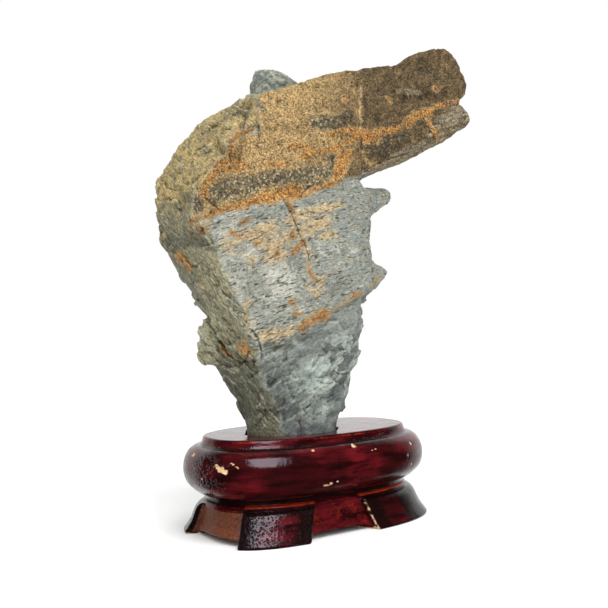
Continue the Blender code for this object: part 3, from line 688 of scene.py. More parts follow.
def make_stone():
    """Bedded stone: a grey laminated front, a granular tan bed, an olive side and a broken blue-grey foot.

    The regions and markings come from the mesh's attributes. Each one's edge is made ragged by noise added to
    the attribute before it passes a smooth step. Each kind of stone is a colour with coats over it. Painted
    shade darkens the hollows and a painted highlight lightens the ridges. Last, a grit of lighter and darker
    grains, drawn out along the beds, multiplies the colour, and painted shade darkens the pits.
    """
    material = bpy.data.materials.new("stone")
    finish = Finish(material, STONE)
    attribute, chips, coat, mix = finish.attribute, finish.chips, finish.coat, finish.mix
    noise, step, stretched = finish.noise, finish.step, finish.stretched
    middle = Vector((*MIDDLE, 0.0))
    rock = finish.millimetres((0.0, 0.0, -ROCK_TURN), (-RIGHT.dot(middle), -BACK.dot(middle), 0.0))
    u = finish.node("ShaderNodeSeparateXYZ", None, {"Vector": rock}, "X")
    z = finish.node("ShaderNodeSeparateXYZ", None, {"Vector": rock}, "Z")
    beds = finish.sloped(rock, FRONT_SLOPE)
    slanted = finish.sloped(rock, CROSS_SLOPE)
    leaning = finish.sloped(rock, ROOT_SLOPE)

    fine = noise(rock, 1.2, 3.0, 0.7)
    grit = noise(rock, 0.95, 2.0, 0.75)
    blotch = noise(rock, 3.6, 3.0, 0.65)
    middling = noise(rock, 7.0, 4.0, 0.65)
    broad = noise(rock, 20.0, 3.0, 0.6)
    ragged = (fine - 0.5) * 0.5 + (middling - 0.5) * 0.9
    grain = finish.grains(rock, 1.15)
    streaks = stretched(beds, (0.16, 0.16, 1.0), 1.5, 4.0, 0.65)
    dashes = stretched(beds, (0.27, 0.27, 1.0), 0.95, 1.0, 0.5)
    along_beds = stretched(beds, (0.36, 0.36, 1.0), 0.75, 2.0, 0.7)
    slants = stretched(slanted, (0.2, 0.3, 1.0), 1.7, 4.0, 0.7)
    upright = stretched(rock, (1.0, 1.0, 0.22), 1.1, 2.0, 0.6)
    along_side = stretched(slanted, (0.3, 0.45, 1.0), 0.9, 3.0, 0.75)
    along_root = stretched(leaning, (0.3, 0.45, 1.0), 0.9, 3.0, 0.75)
    side_chips = chips(slanted, 4.0, 3.0, (0.32, 0.5, 1.0), 3.4)
    root_chips = chips(leaning, 5.0, 5.0, (0.42, 0.6, 1.0), 4.6)
    small_chips = chips(leaning, 2.5, 2.5, (0.4, 0.6, 1.0), 2.2)

    def mark(name, low, high, raggedness):
        return step(attribute(name) + ragged * raggedness, low, high)

    def region(name, softness, raggedness):
        return mark(name, 0.5 - softness, 0.5 + softness, raggedness)

    def blend(first, second, value, low, high):
        return mix(step(value, low, high), first, second)

    front = blend("front_cool", "front", streaks, 0.32, 0.68)
    front = coat(front, "front_pale", broad + (blotch - 0.5) * 0.6, 0.5, 0.68, 0.6)
    front = coat(front, "front_cool", u + (middling - 0.5) * 30.0, -6.0, 26.0, 0.5)
    front = coat(front, "front_left", u + (middling - 0.5) * 24.0, -18.0, -34.0, 0.4)
    front = mix(mark("white", 0.3, 0.85, 1.1) * 0.85, front, "white")
    rusty = blend("rust_deep", "slab_pale", grain + (fine - 0.5) * 0.4, 0.14, 0.58)
    speckle = attribute("speckle") * 1.4 + ragged * 1.7 + (grain - 0.5) * 1.5
    front = coat(front, mix(0.4, rusty, "freckle"), speckle, 0.05, 1.15, 0.82)
    stray = step(grit, 0.63, 0.7) * step(middling, 0.42, 0.6)
    front = mix(stray * 0.5, front, "tan")
    drawn = blend("blue", "blue_pale", upright, 0.38, 0.62)
    drawn = coat(drawn, "blue_right", u, -4.0, 6.0, 0.45)
    front = mix(mark("blue", 0.36, 0.56, 0.8) * 0.8, front, drawn)
    dash_share = step(dashes, 0.6, 0.645) * step(middling, 0.36, 0.5)
    front = mix(dash_share * 0.9, front, "dash")
    front = coat(front, "glint", along_beds, 0.64, 0.7, 0.5)

    facet_tone = middling * 0.65 + 0.175 + (root_chips - 0.5) * 0.8
    facet_tone = facet_tone + (small_chips - 0.5) * 0.2 + (fine - 0.5) * 0.3
    root = blend("root_dark", "root", facet_tone, 0.22, 0.76)
    root = coat(root, "root_mid", blotch, 0.5, 0.68, 0.6)
    low_root = z + u * 0.5 + (middling - 0.5) * 20.0
    root = coat(root, mix(root_chips, "root_low", "root_dark"), low_root, 72.0, 58.0, 0.85)
    top_root = z - u * 0.62 + (middling - 0.5) * 16.0
    root = coat(root, mix(root_chips, "root_top_dark", "root_top"), top_root, 82.0, 96.0, 0.85)
    root = coat(root, "root_line", slants, 0.62, 0.7, 0.22)

    olive = blend("olive_dark", "olive", u + z * 0.383 + (middling - 0.5) * 22.0, -22.0, 6.0)
    olive = coat(olive, "side_dark", side_chips, 0.55, 0.95, 0.5)
    olive = coat(olive, "side_pale", side_chips, 0.4, 0.05, 0.45)
    olive = coat(olive, "side_groove", slants, 0.42, 0.3, 0.6)
    olive = coat(olive, "beige", blotch + (slants - 0.5) * 0.5, 0.54, 0.7, 0.6)
    olive = coat(olive, "side_grey", broad, 0.5, 0.64, 0.4)
    olive = coat(olive, "olive_low", z + (middling - 0.5) * 30.0, 106.0, 84.0, 0.75)
    # The knob: its grey-green is made much paler than the side around it, a painted highlight for the light
    # that falls on it.
    knob = step(u + (blotch - 0.5) * 4.0, -45.0, -50.0) * step(z + (blotch - 0.5) * 6.0, 86.0, 92.0)
    knob = knob * step(z, 122.0, 114.0)
    olive = mix(knob * 0.85, olive, mix(side_chips, "knob", "olive"))
    shoulder = blend("shoulder_low", "shoulder", blotch, 0.34, 0.64)
    shoulder = coat(shoulder, "slab_pale", grain, 0.7, 0.86, 0.5)
    shoulder = coat(shoulder, "shoulder_low", broad, 0.52, 0.66, 0.5)
    olive = coat(olive, shoulder, z + (middling - 0.5) * 40.0, 164.0, 186.0)

    bed = blend("arm", "tan", blotch + (grain - 0.5) * 0.3, 0.34, 0.66)
    bed = mix(0.45, bed, "tan")
    golden = blend("tan", "gold", fine, 0.34, 0.64)
    bed = coat(bed, golden, u + (broad - 0.5) * 40.0 - (z - 205.0) * 0.5, 26.0, -14.0, 0.55)
    arm = blend("arm_dark", "arm", blotch, 0.34, 0.66)
    arm = coat(arm, "arm_pale", fine, 0.56, 0.7, 0.5)
    along_arm = step(u + (broad - 0.5) * 44.0 + (blotch - 0.5) * 18.0, 2.0, 44.0)
    past_crack = step(u + (fine - 0.5) * 1.4, 34.7, 35.5)
    bed = mix(along_arm * 0.72 + past_crack * 0.22, bed, arm)
    bed = mix(mark("tan", 0.3, 0.9, 1.3) * 0.8, bed, golden)
    shaded = blend("slab_dark", "slab_pale", grain + (fine - 0.5) * 0.6, 0.5, 1.1)
    shaded = mix(along_arm * 0.8, shaded, "arm_dark")
    bed = mix(mark("shade", 0.08, 0.6, 1.0) * 0.88, bed, shaded)
    under = finish.largest(attribute("under"), attribute("end")) + ragged * 0.6
    bed = coat(bed, blend("arm", "under", streaks, 0.34, 0.6), under, 0.35, 0.7, 0.85)

    root_region = region("root", 0.2, 0.5)
    olive_region = region("olive", 0.3, 0.9)
    bed_share = region("bed", 0.16, 0.5)
    outside = 1.0 - bed_share
    olive_share = olive_region * outside
    root_share = root_region * outside * (1.0 - olive_share)
    front_share = outside * (1.0 - olive_share) * (1.0 - root_share)
    colour = mix(root_region, front, root)
    colour = mix(olive_region, colour, olive)
    colour = mix(region("peak", 0.1, 0.3), colour, blend("root_dark", "peak", blotch, 0.38, 0.6))
    colour = mix(mark("shade", 0.2, 0.9, 0.8) * outside * 0.6, colour, "grey_shade")
    colour = mix(mark("tan", 0.3, 0.9, 1.2) * outside * 0.6, colour, golden)
    colour = mix(bed_share, colour, bed)
    rust_strength = attribute("rust") + (middling - 0.5) * 1.3 + (blotch - 0.5) * 0.5 + (fine - 0.5) * 0.8
    colour = coat(colour, golden, rust_strength, 0.14, 0.5, 0.6)
    rust = blend("rust_deep", "orange", fine + (blotch - 0.5) * 0.7 + (grit - 0.5) * 0.6, 0.34, 0.66)
    colour = coat(colour, rust, rust_strength, 0.4, 0.78, 0.85)
    contour = step(abs(middling - 0.5) + (fine - 0.5) * 0.03, 0.02, 0.006) * step(rust_strength, 0.2, 0.5)
    colour = mix(contour * 0.75, colour, "brown_line")
    stain = step(noise(rock, 4.6, 4.0, 0.7), 0.6, 0.68) * bed_share * step(broad, 0.44, 0.6)
    colour = mix(stain * 0.5, colour, "orange")

    def thin_line(name, low, high):
        wander = (fine - 0.5) * 3.4 + (blotch - 0.5) * 6.0
        across = abs(attribute(name + "_side") + wander)
        return step(across, high, low) * step(attribute(name + "_gap"), 1.9, 1.3)

    veins = thin_line("vein", 0.5, 1.6) * step(blotch, 0.4, 0.56)
    colour = mix(veins * (0.55 - bed_share * 0.3), colour, "vein")
    cracks = thin_line("crack", 0.35, 1.15) * step(grit, 0.34, 0.5)
    colour = mix(cracks * 0.8, colour, "brown_line")
    hollow = attribute("hollow")
    colour = coat(colour, "shadow", hollow, 0.08, 0.42, 0.6)
    # Painted highlight: a paler colour on ridges that stand above their softened surroundings, less of it in
    # the root region.
    ridge_highlight = step(hollow, -0.1, -0.42) * outside
    colour = mix(ridge_highlight * (0.3 - attribute("root") * 0.16), colour, "ridge_highlight")

    directed = along_beds * front_share + along_side * olive_share
    directed = directed + along_root * root_share + grit * bed_share
    spread = 0.5 + bed_share * 0.75 + olive_share * 0.5
    speckling = (step(directed, 0.32, 0.68) - 0.5) * spread + (grain - 0.5) * (0.24 + bed_share * 0.5) + 1.04
    colour = mix(1.0, colour, finish.largest(speckling, 0.3), "MULTIPLY")
    # Painted shade: the shadow colour darkens the small pits where the fine noise is low.
    colour = coat(colour, mix(0.75, colour, "shadow"), fine, 0.36, 0.27, 0.6)

    rough = 0.62 + bed_share * 0.18 + (fine - 0.5) * 0.3
    relief = directed * (1.1 - root_share * 0.6) + fine * (0.7 - root_share * 0.4)
    relief = relief + streaks * front_share * 0.8 + grain * bed_share * 0.4
    relief = relief - cracks * 0.7 - dash_share * outside * 0.5
    relief = relief + (root_chips * 1.6 + small_chips * 0.7) * root_share + side_chips * olive_share * 1.2
    make_surface("stone", colour, rough, relief, STONE_BUMP_M, {"Specular IOR Level": 0.3})
    return material


def make_lacquer(name, end_wood):
    """Thick glossy lacquer: near black where it pools and where shade is painted, oxblood where clear,
    orange-red where thin on edges.

    The mesh's attributes say where it is thin, where it pools, where shade is painted on it, where it is
    pitted, worn to brown wood or chipped to pale wood.
    """
    material = bpy.data.materials.new(name)
    finish = Finish(material, LACQUER)
    attribute, coat, mix, noise, step = finish.attribute, finish.coat, finish.mix, finish.noise, finish.step
    place = finish.millimetres()
    fine = noise(place, 1.3, 3.0, 0.65)
    middling = noise(place, 9.0, 3.0, 0.6)
    streaks = finish.stretched(place, (0.2, 0.2, 1.0), 3.6, 4.0, 0.6)
    colour = mix(step(streaks, 0.34, 0.66), "dark", "clear")
    colour = coat(colour, "deep", noise(place, 34.0, 2.0, 0.5), 0.42, 0.62, 0.75)
    thinness = attribute("thin") + (fine - 0.5) * 0.7 + (middling - 0.5) * 0.9
    colour = coat(colour, "thinned", thinness, 0.45, 1.0)
    # Pooled lacquer and painted shade: near black where the lacquer pools and where shade falls, in the
    # seams, the cove and on the feet's corners and toes.
    colour = coat(colour, "pooled_and_shade", attribute("pooled_and_shade") + (middling - 0.5) * 0.5, 0.3, 0.9, 0.95)
    ragged = (fine - 0.5) * 0.9 + (noise(place, 2.2, 3.0, 0.7) - 0.5) * 1.3
    chips = step(attribute("chipped") + ragged, 0.52, 0.58)
    rim = step(attribute("chipped") + ragged, 0.34, 0.5)
    rough = 0.12 + (fine - 0.5) * 0.12 + chips * 0.6 + rim * 0.2
    if end_wood:
        wood_grain = noise(finish.mapped(place, (0.07, 0.6, 0.5)), 0.5, 4.0, 0.7, 0.2)
        bare_end = step(attribute("end_wood") + (fine - 0.5) * 0.4, 0.35, 0.7)
        colour = mix(bare_end, colour, mix(step(wood_grain, 0.35, 0.65), "end_dark", "end_pale"))
        rough = rough + bare_end * 0.4
    colour = mix(rim * 0.8, colour, "chip_rim")
    colour = mix(chips, colour, mix(step(fine, 0.3, 0.7), "wood_dark", "wood_pale"))
    cells = finish.node("ShaderNodeTexVoronoi", None, {"Vector": place, "Scale": 0.85}, "Distance")
    pits = step(cells, 0.5, 0.2) * step(attribute("pitted") + (middling - 0.5) * 1.6, 0.35, 0.75)
    relief = fine * 0.2 + middling * 0.9 - pits * 1.3 - chips * 1.1
    make_surface(name, colour, rough, relief, LACQUER_BUMP_M, {"IOR": 1.52})
    return material


def smooth_profile(profile, count):
    """A profile's points carried on a smooth curve: a cubic through each four neighbours, evenly spaced."""
    points = np.array(profile, dtype=float)
    padded = np.vstack([2.0 * points[0] - points[1], points, 2.0 * points[-1] - points[-2]])
    pieces = []
    share = np.linspace(0.0, 1.0, 24, endpoint=False)[:, None]
    for index in range(len(points) - 1):
        before, start, stop, beyond = padded[index:index + 4]
        pieces.append(0.5 * (
            2.0 * start + (stop - before) * share
            + (2.0 * before - 5.0 * start + 4.0 * stop - beyond) * share ** 2
            + (3.0 * start - before - 3.0 * stop + beyond) * share ** 3
        ))
    dense = np.vstack(pieces + [points[-1:]])
    length = np.concatenate([[0.0], np.cumsum(np.linalg.norm(np.diff(dense, axis=0), axis=1))])
    places = np.linspace(0.0, length[-1], count)
    return np.stack([np.interp(places, length, dense[:, axis]) for axis in range(2)], axis=1)


def oval(offset, squareness, angles):
    """The stand's outline: each axis follows a power of the angle's cosine or sine, grown by the offset."""
    power = 2.0 / squareness
    cosine, sine = np.cos(angles), np.sin(angles)
    x = (PLATE_HALF_LENGTH + offset) * np.sign(cosine) * np.abs(cosine) ** power
    y = (PLATE_HALF_WIDTH + offset) * np.sign(sine) * np.abs(sine) ** power
    return x, y


def even_angles(count):
    """Angles that space the columns evenly along the oval, from the length of a dense run of its points."""
    dense = np.linspace(0.0, 2.0 * math.pi, 8001)
    x, y = oval(MIDDLE_OFFSET, PLATE_SQUARENESS, dense)
    length = np.concatenate([[0.0], np.cumsum(np.hypot(np.diff(x), np.diff(y)))])
    return np.interp(np.linspace(0.0, length[-1], count, endpoint=False), length, dense)


def socket_radius(x, y, centre, grow):
    """Distance from the socket's centre to the nearest of its straight sides, towards each point."""
    corners = np.array(FOOT_OUTLINE, dtype=float)
    corners = corners @ np.array([RIGHT[:2], BACK[:2]])
    toward = np.stack([x - centre[0], y - centre[1]], axis=1)
    toward /= np.linalg.norm(toward, axis=1, keepdims=True)
    radius = np.full(len(toward), 1e9)
    for start, stop in zip(corners, np.roll(corners, -1, axis=0)):
        along = stop - start
        outward = np.array([along[1], -along[0]]) / np.linalg.norm(along)
        reach = outward @ (start - centre) + grow
        facing = toward @ outward
        radius = np.where(facing > 0.05, np.minimum(radius, reach / np.maximum(facing, 0.05)), radius)
    return radius, toward


def chip_strength(angles, heights, chips):
    """How strongly the lacquer is chipped: 1 in a chip's middle, 0.5 at its half size, 0 at twice that.

    Distance round the oval is the angle's difference times the oval's radius there, measured in half sizes.
    """
    strength = np.zeros(heights.shape)
    x, y = oval(CHIP_OFFSET, PLATE_SQUARENESS, angles)
    for degrees, height, across, upward in chips:
        chip_x, chip_y = oval(CHIP_OFFSET, PLATE_SQUARENESS, np.array([math.radians(degrees)]))
        sideways = np.hypot(x - chip_x, y - chip_y)[None, :] / across
        gap = np.hypot(sideways, (heights - height) / upward)
        strength = np.maximum(strength, 1.0 - 0.5 * gap)
    return strength.clip(0.0)


def make_board(material):
    """The top board as one grid of rings: socket floor, socket wall, plate, moulding and underside.

    Columns run round the oval. On the plate, a ring lies a share of the way along the straight line from the
    socket's edge to the plate's edge. On the moulding, a ring is the oval grown by the profile's offset.
    """
    angles = even_angles(BOARD_COLUMNS)
    profile = smooth_profile(TOP_PROFILE, BOARD_RINGS)
    edge_x, edge_y = oval(profile[0, 0], PLATE_SQUARENESS, angles)
    foot_centre = np.array(FOOT_OUTLINE, dtype=float).mean(axis=0)
    centre = foot_centre[0] * np.array(RIGHT[:2]) + foot_centre[1] * np.array(BACK[:2])
    radius, toward = socket_radius(edge_x, edge_y, centre, SOCKET_CLEARANCE)
    to_edge = np.hypot(edge_x - centre[0], edge_y - centre[1])
    rings, thin, pooled_and_shade = [], [], []

    def add_ring(distance, height, thinness, pooling_and_shade):
        spots = centre + toward * distance[:, None]
        rings.append(np.column_stack([spots, np.full(len(spots), height)]))
        thin.append(thinness)
        pooled_and_shade.append(pooling_and_shade)

    # Painted shade with pooled lacquer: the socket's floor and wall, under the rock, are near black.
    for share in (0.3, 0.7, 1.0):
        add_ring(radius * share, SOCKET_FLOOR, 0.0, 1.0)
    for height in (48.2, 49.6, TOP_HEIGHT - 0.5):
        add_ring(radius, height, 0.2, 0.6)
    add_ring(radius + 0.15, TOP_HEIGHT - 0.15, 1.0, 0.0)
    add_ring(radius + 0.5, TOP_HEIGHT, 0.8, 0.0)
    for share in np.linspace(0.04, 0.97, PLATE_RINGS):
        add_ring(radius + 0.5 + (to_edge - radius - 0.5) * share, TOP_HEIGHT, 0.0, 0.0)
    plate_rings = len(rings)
    for offset, height in profile:
        x, y = oval(offset, PLATE_SQUARENESS, angles)
        rings.append(np.stack([x, y, np.full_like(x, height)], axis=1))
        thin.append(0.75 * hump(height, 50.4, 0.9))
        # Painted shade with pooled lacquer: the cove below the lip, and the underside above the seam with the
        # base, are near black.
        lip_foot = 1.2 * hump(offset, 2.8, 2.0) if height > 45.0 else 0.0
        seam = fade(SEAM_HEIGHT + 4.5 - height, 0.0, 3.5)
        pooled_and_shade.append(max(lip_foot, seam))
    rows = np.array(rings)
    heights = rows[:, :, 2]
    thin = np.array(thin)[:, None] * (0.75 + 0.25 * np.sin(angles * 7.0))[None, :]
    end_side = fade(np.abs(rows[:, :, 0]), 58.0, 72.0)
    chipped = chip_strength(angles, heights, TOP_CHIPS)
    chipped[:plate_rings] = 0.0
    below_plate = (np.arange(len(rows)) > plate_rings)[:, None]
    wave = WAVE_HEIGHT * np.sin(angles * 11.0 + 0.7) * np.sin(heights * 0.55) * below_plate
    outwards = np.stack([np.cos(angles), np.sin(angles)], axis=1)
    rows[:, :, :2] += outwards * (wave - CHIP_DEPTH * fade(chipped, 0.45, 0.6))[:, :, None]
    return grid_object("stand_board", rows, material, {
        "thin": thin, "pooled_and_shade": np.array(pooled_and_shade)[:, None], "chipped": chipped,
        "pitted": 0.15 + 0.6 * end_side + 0.3 * hump(heights, 47.5, 1.5),
    })


def base_cuts():
    """Angles of the eight sawn sides of the feet: the gaps are off centre, in pairs turned half way round."""
    power = PLATE_SQUARENESS / 2.0
    near, far = [math.acos((abs(place) / PLATE_HALF_LENGTH) ** power) for place in SIDE_GAP]
    front, back = [math.asin((abs(place) / PLATE_HALF_WIDTH) ** power) for place in END_GAP]
    half = [-back, front, near, math.pi - far]
    return half + [angle + math.pi for angle in half]


def base_columns():
    """Columns round the base: angle, 1 for a foot, the way along its foot or gap, and turn from the saw.

    Near its sawn sides a foot has close columns, where its corner is rounded by a quarter circle.
    """
    cuts = base_cuts()
    cuts.append(cuts[0] + 2.0 * math.pi)
    columns = []
    for number in range(8):
        start = cuts[number] + SAW_TURN
        width = cuts[number + 1] - SAW_TURN - start
        is_foot = number % 2
        inner = np.linspace(INNER_TURN, width - INNER_TURN, FOOT_COLUMNS if is_foot else APRON_COLUMNS)
        for turn in np.concatenate([SAWN_TURNS, inner, (width - SAWN_TURNS)[::-1]]):
            columns.append((start + turn, is_foot, turn / width, min(turn, width - turn)))
    return np.array(columns)


def make_base(material):
    """The base as one grid of rings: waist, bead, the flare of the feet and aprons, and the hollow below.

    Columns run round the oval. At each height a foot's column takes the foot profile's offset and an apron's
    column the shallower one. The apron's lower edge rises in an arch by the square root of a half sine. The
    lacquer pools at the feet's corners, and painted shade darkens them, the toes, the feet to the right and
    the waist under the board. The lacquer is worn on the sawn edges, most where a front foot is handled.
    """
    angles, foot, along, from_saw = base_columns().T
    arch = APRON_RISE * np.sqrt(np.sin(math.pi * np.clip(along, 0.0, 1.0)).clip(0.0)) * (1.0 - foot)
    inside = np.clip(1.0 - from_saw / CORNER_TURN, 0.0, 1.0)
    rounding = CORNER_ROUND * (1.0 - np.sqrt((1.0 - inside ** 2).clip(0.0))) * foot
    saw_x, saw_y = oval(MIDDLE_OFFSET, PLATE_SQUARENESS, np.array(base_cuts()))
    foot_x, foot_y = oval(MIDDLE_OFFSET, PLATE_SQUARENESS, angles)
    saw_distance = np.hypot(foot_x[:, None] - saw_x, foot_y[:, None] - saw_y).min(axis=1)
    waist = smooth_profile(WAIST_PROFILE + [(0.65, 16.4)], WAIST_RINGS)
    foot_rows = smooth_profile([(0.7, 16.3)] + FOOT_PROFILE, FLARE_RINGS)
    apron_rows = smooth_profile([(0.68, 16.3)] + APRON_PROFILE, FLARE_RINGS)
    rings, thin, pooled_and_shade = [], [], []

    def add_ring(offset, squareness, height, thinness, pooling_and_shade):
        x, y = oval(offset, squareness, angles)
        rings.append(np.stack([x, y, height + 0.0 * x], axis=1))
        thin.append(thinness + 0.0 * x)
        pooled_and_shade.append(pooling_and_shade + 0.0 * x)

    top_height = WAIST_PROFILE[0][1]
    # Painted shade with pooled lacquer under the board: the base's top and the waist's upper part are near
    # black.
    for share in (0.3, 0.8):
        add_ring((share - 1.0) * 40.0, PLATE_SQUARENESS, top_height, 0.0, 1.0)
    for offset, height in waist:
        bead = (0.5 + 0.5 * foot) * hump(height, 17.9, 0.9)
        add_ring(offset, PLATE_SQUARENESS, height, bead, 0.7 if height > 18.6 else 0.15)
    for row in range(len(foot_rows)):
        foot_offset, foot_height = foot_rows[row]
        apron_offset, apron_height = apron_rows[row]
        down = (row + 1) / len(foot_rows)
        squareness = PLATE_SQUARENESS + (FLOOR_SQUARENESS - PLATE_SQUARENESS) * down
        depth = min(1.0, max(0.0, (foot_offset - apron_offset) / 2.5))
        offset = np.where(foot > 0.0, foot_offset - rounding * depth, apron_offset)
        height = np.where(foot > 0.0, foot_height, apron_height + arch * down ** 2)
        # Painted shade with pooled lacquer: near black on the feet's rounded corners, on the feet to the
        # right, just below each foot's top edge, on the toes, and a little over every foot.
        corner = (hump(saw_distance, 0.0, DARK_CORNER) + fade(foot_x, 30.0, 50.0)) * foot
        edge = hump(foot_height, 16.2, 0.6) * foot
        toe = fade(1.6 - foot_height, 0.0, 1.4) * foot
        pooling_and_shade = 1.4 * corner + 0.5 * hump(foot_height, 15.4, 0.5) + 0.9 * toe + 0.5 * foot
        add_ring(offset, squareness, height, 0.25 * edge + 0.5 * (1.0 - foot), pooling_and_shade)
    floor_edge = rings[-1][:, 2].copy()
    add_ring(FOOT_INNER_OFFSET, PLATE_SQUARENESS, floor_edge, 0.0, 0.5)
    add_ring(FOOT_INNER_OFFSET - 1.0, PLATE_SQUARENESS, HOLLOW_HEIGHT, 0.0, 0.5)
    add_ring(FOOT_INNER_OFFSET - 20.0, PLATE_SQUARENESS, HOLLOW_HEIGHT, 0.0, 0.5)
    rows = np.array(rings)
    heights = rows[:, :, 2]
    apron = (1.0 - foot) * fade(16.0 - heights, 0.0, 1.5)
    end_wood = (fade(-rows[:, :, 0], 48.0, 56.0) + 0.5 * fade(rows[:, :, 0], 48.0, 56.0)) * apron
    worn = hump(foot_x, WORN_PLACE, WORN_WIDTH) * (foot_y < 0.0)
    sawn = hump(from_saw, 0.0, 0.003 + 0.005 * worn) * foot * fade(15.0 - heights, 0.0, 1.0)
    lowest = fade(1.9 - heights, 0.0, 1.4) + 0.75 * worn
    base = grid_object("stand_feet", rows, material, {
        "thin": np.array(thin), "pooled_and_shade": np.array(pooled_and_shade), "chipped": 0.46 * sawn * (0.4 + lowest),
        "end_wood": end_wood, "pitted": 0.08 + 0.67 * foot * fade(foot_x, 4.0, -10.0),
    })
    base.data.set_sharp_from_angle(angle=math.radians(38.0))
    return base


def rock_axes(points):
    """Points turned from the world's axes to the rock's own: u, w and z from the stand's middle."""
    moved = points - np.array([MIDDLE[0], MIDDLE[1], 0.0])
    return np.stack([moved @ np.array(RIGHT), moved @ np.array(BACK), moved[:, 2]], axis=1)


def region_shares(places, facing_back):
    """The regions at each place: the front's outlines and the back's, blended by which way the skin faces."""
    flat = places[:, [0, 2]]
    outlines = {
        "bed": (FRONT_BED, BACK_BED), "olive": (FRONT_OLIVE, BACK_OLIVE), "root": (FRONT_ROOT, BACK_ROOT),
        "peak": (PEAK, PEAK), "end": (ARM_END, ARM_END),
    }
    shares = {}
    for name, (front, back) in outlines.items():
        front_share = inside_outline(flat, front, REGION_SOFTNESS)
        back_share = inside_outline(flat, back, REGION_SOFTNESS)
        shares[name] = front_share * (1.0 - facing_back) + back_share * facing_back
    shares["peak"] = shares["peak"] * fade(places[:, 1], -14.0, -8.0)
    shares["bed"] = shares["bed"] * (1.0 - fade(shares["peak"], 0.3, 0.6))
    return shares


def mark_shares(places, facing_back):
    """The markings at each place, the front's and the back's blended in the same way."""
    flat = places[:, [0, 2]]
    waves = [
        5.0 * smooth_noise(places, 17.0, seed) + 1.6 * smooth_noise(places, 6.0, seed + 2)
        for seed in (71, 72)
    ]
    wavy = flat + np.stack(waves, axis=1)
    shares = {}
    for name, marks in FRONT_MARKS.items():
        if name in THIN_MARKS:
            front_values = dict(zip((name + "_side", name + "_gap"), line_sides(flat, marks)))
            back_values = dict(zip((name + "_side", name + "_gap"), line_sides(wavy, BACK_MARKS[name])))
        else:
            front_values = {name: mark_strength(flat, marks)}
            back_values = {name: mark_strength(wavy, BACK_MARKS[name])}
        for key, value in front_values.items():
            shares[key] = value * (1.0 - facing_back) + back_values[key] * facing_back
    return shares


def tilted(places, degrees):
    """How far a place lies across beds that rise to the right at an angle."""
    angle = math.radians(degrees)
    return places[:, 2] * math.cos(angle) - places[:, 0] * math.sin(angle)


def rock_relief(places, regions, marks):
    """How far the surface moves outwards: the sum of each region's own relief and the grooves of the cracks.

    The bed is granular, with pits and low ledges. The front is stepped along its beds. The side and the foot
    are broken along two sets of slanting beds, with facets between. All of it fades away in
    the socket.
    """
    bed = fade(regions["bed"], 0.4, 0.6)
    olive = fade(regions["olive"], 0.4, 0.6) * (1.0 - bed)
    root = np.maximum(fade(regions["root"], 0.3, 0.7), 0.35 * fade(regions["peak"], 0.4, 0.6)) * (1.0 - olive)
    front = (1.0 - bed) * (1.0 - olive) * (1.0 - root)
    wander = 2.6 * smooth_noise(places, 13.0, 31) + 0.8 * smooth_noise(places, 4.5, 30) + 0.35 * places[:, 1]
    patch = fade(smooth_noise(places, 16.0, 29), -0.35, 0.35)
    other_patch = fade(smooth_noise(places, 15.0, 28), -0.35, 0.35)
    facets = broken_faces(places * np.array([0.8, 1.0, 1.1]), 10.0, 1.8, 40)
    small_facets = broken_faces(places, 4.6, 1.6, 60)
    pits = fade(smooth_noise(places, 3.4, 36), 0.4, 0.75)
    lumps = smooth_noise(places, 7.0, 37)
    grains = smooth_noise(places, 2.3, 38)
    front_steps = ledges(tilted(places, FRONT_SLOPE) + wander, 3.4, 41) * (0.3 + 0.7 * patch)
    bed_steps = ledges(tilted(places, UPPER_SLOPE) + wander, 9.0, 42) * patch
    root_steps = ledges(tilted(places, ROOT_SLOPE) + 1.6 * wander, 8.0, 43) * (0.25 + 0.75 * patch)
    fine_root_steps = ledges(tilted(places, ROOT_SLOPE) + wander, 3.4, 44) * other_patch
    cross_steps = ledges(tilted(places, CROSS_SLOPE) + 1.4 * wander, 9.0, 45) * other_patch
    side_steps = ledges(tilted(places, SIDE_SLOPE) + wander, 5.0, 46) * (0.3 + 0.7 * patch)
    fine_side_steps = ledges(tilted(places, SIDE_SLOPE) + wander, 2.9, 47) * (0.3 + 0.7 * other_patch)
    relief = bed * (0.42 * grains + 0.45 * lumps - 0.8 * pits + 0.6 * bed_steps)
    relief += front * (0.7 * front_steps + 0.25 * grains + 0.3 * lumps)
    relief += olive * (1.6 * side_steps + 0.55 * fine_side_steps + 0.9 * facets + 0.18 * grains)
    relief += root * (
        2.3 * root_steps + 0.6 * fine_root_steps + 1.8 * cross_steps + 0.6 * facets + 0.1 * grains
    )
    relief -= 0.55 * fade(marks["crack_gap"], 1.3, 0.2)
    relief += 1.5 * fade(line_distance(places[:, [0, 2]], KNOB_CRACK), 3.4, 1.4)
    relief += 0.3 * fade(marks["rust"], 0.2, 0.8) * bed
    relief -= 0.5 * fade(marks["blue"], 0.3, 0.7) * (1.0 - bed)
    return relief * fade(places[:, 2], FOOT_LINE, FOOT_LINE + 6.0)


def add_web(mesh):
    """Join a small closed prism to the rock's skin, where stone webs the notch under the arm.

    The prism's front corners follow the rock's face, which falls back to the right by a steady slope.
    """
    outline = np.array(NOTCH_WEB, dtype=float)
    count = len(outline)
    shell = bmesh.new()
    shell.from_mesh(mesh)
    rims = []
    for depth in (outline[:, 0] * WEB_FRONT_SLOPE + WEB_FRONT, np.full(count, WEB_BACK)):
        places = [RIGHT * u + BACK * w + UP * z for (u, z), w in zip(outline, depth)]
        rims.append([shell.verts.new((place + Vector((*MIDDLE, 0.0))) * MM) for place in places])
    shell.faces.new(rims[0])
    shell.faces.new(rims[1][::-1])
    for index in range(count):
        after = (index + 1) % count
        shell.faces.new((rims[0][after], rims[0][index], rims[1][index], rims[1][after]))
    shell.to_mesh(mesh)
    shell.free()


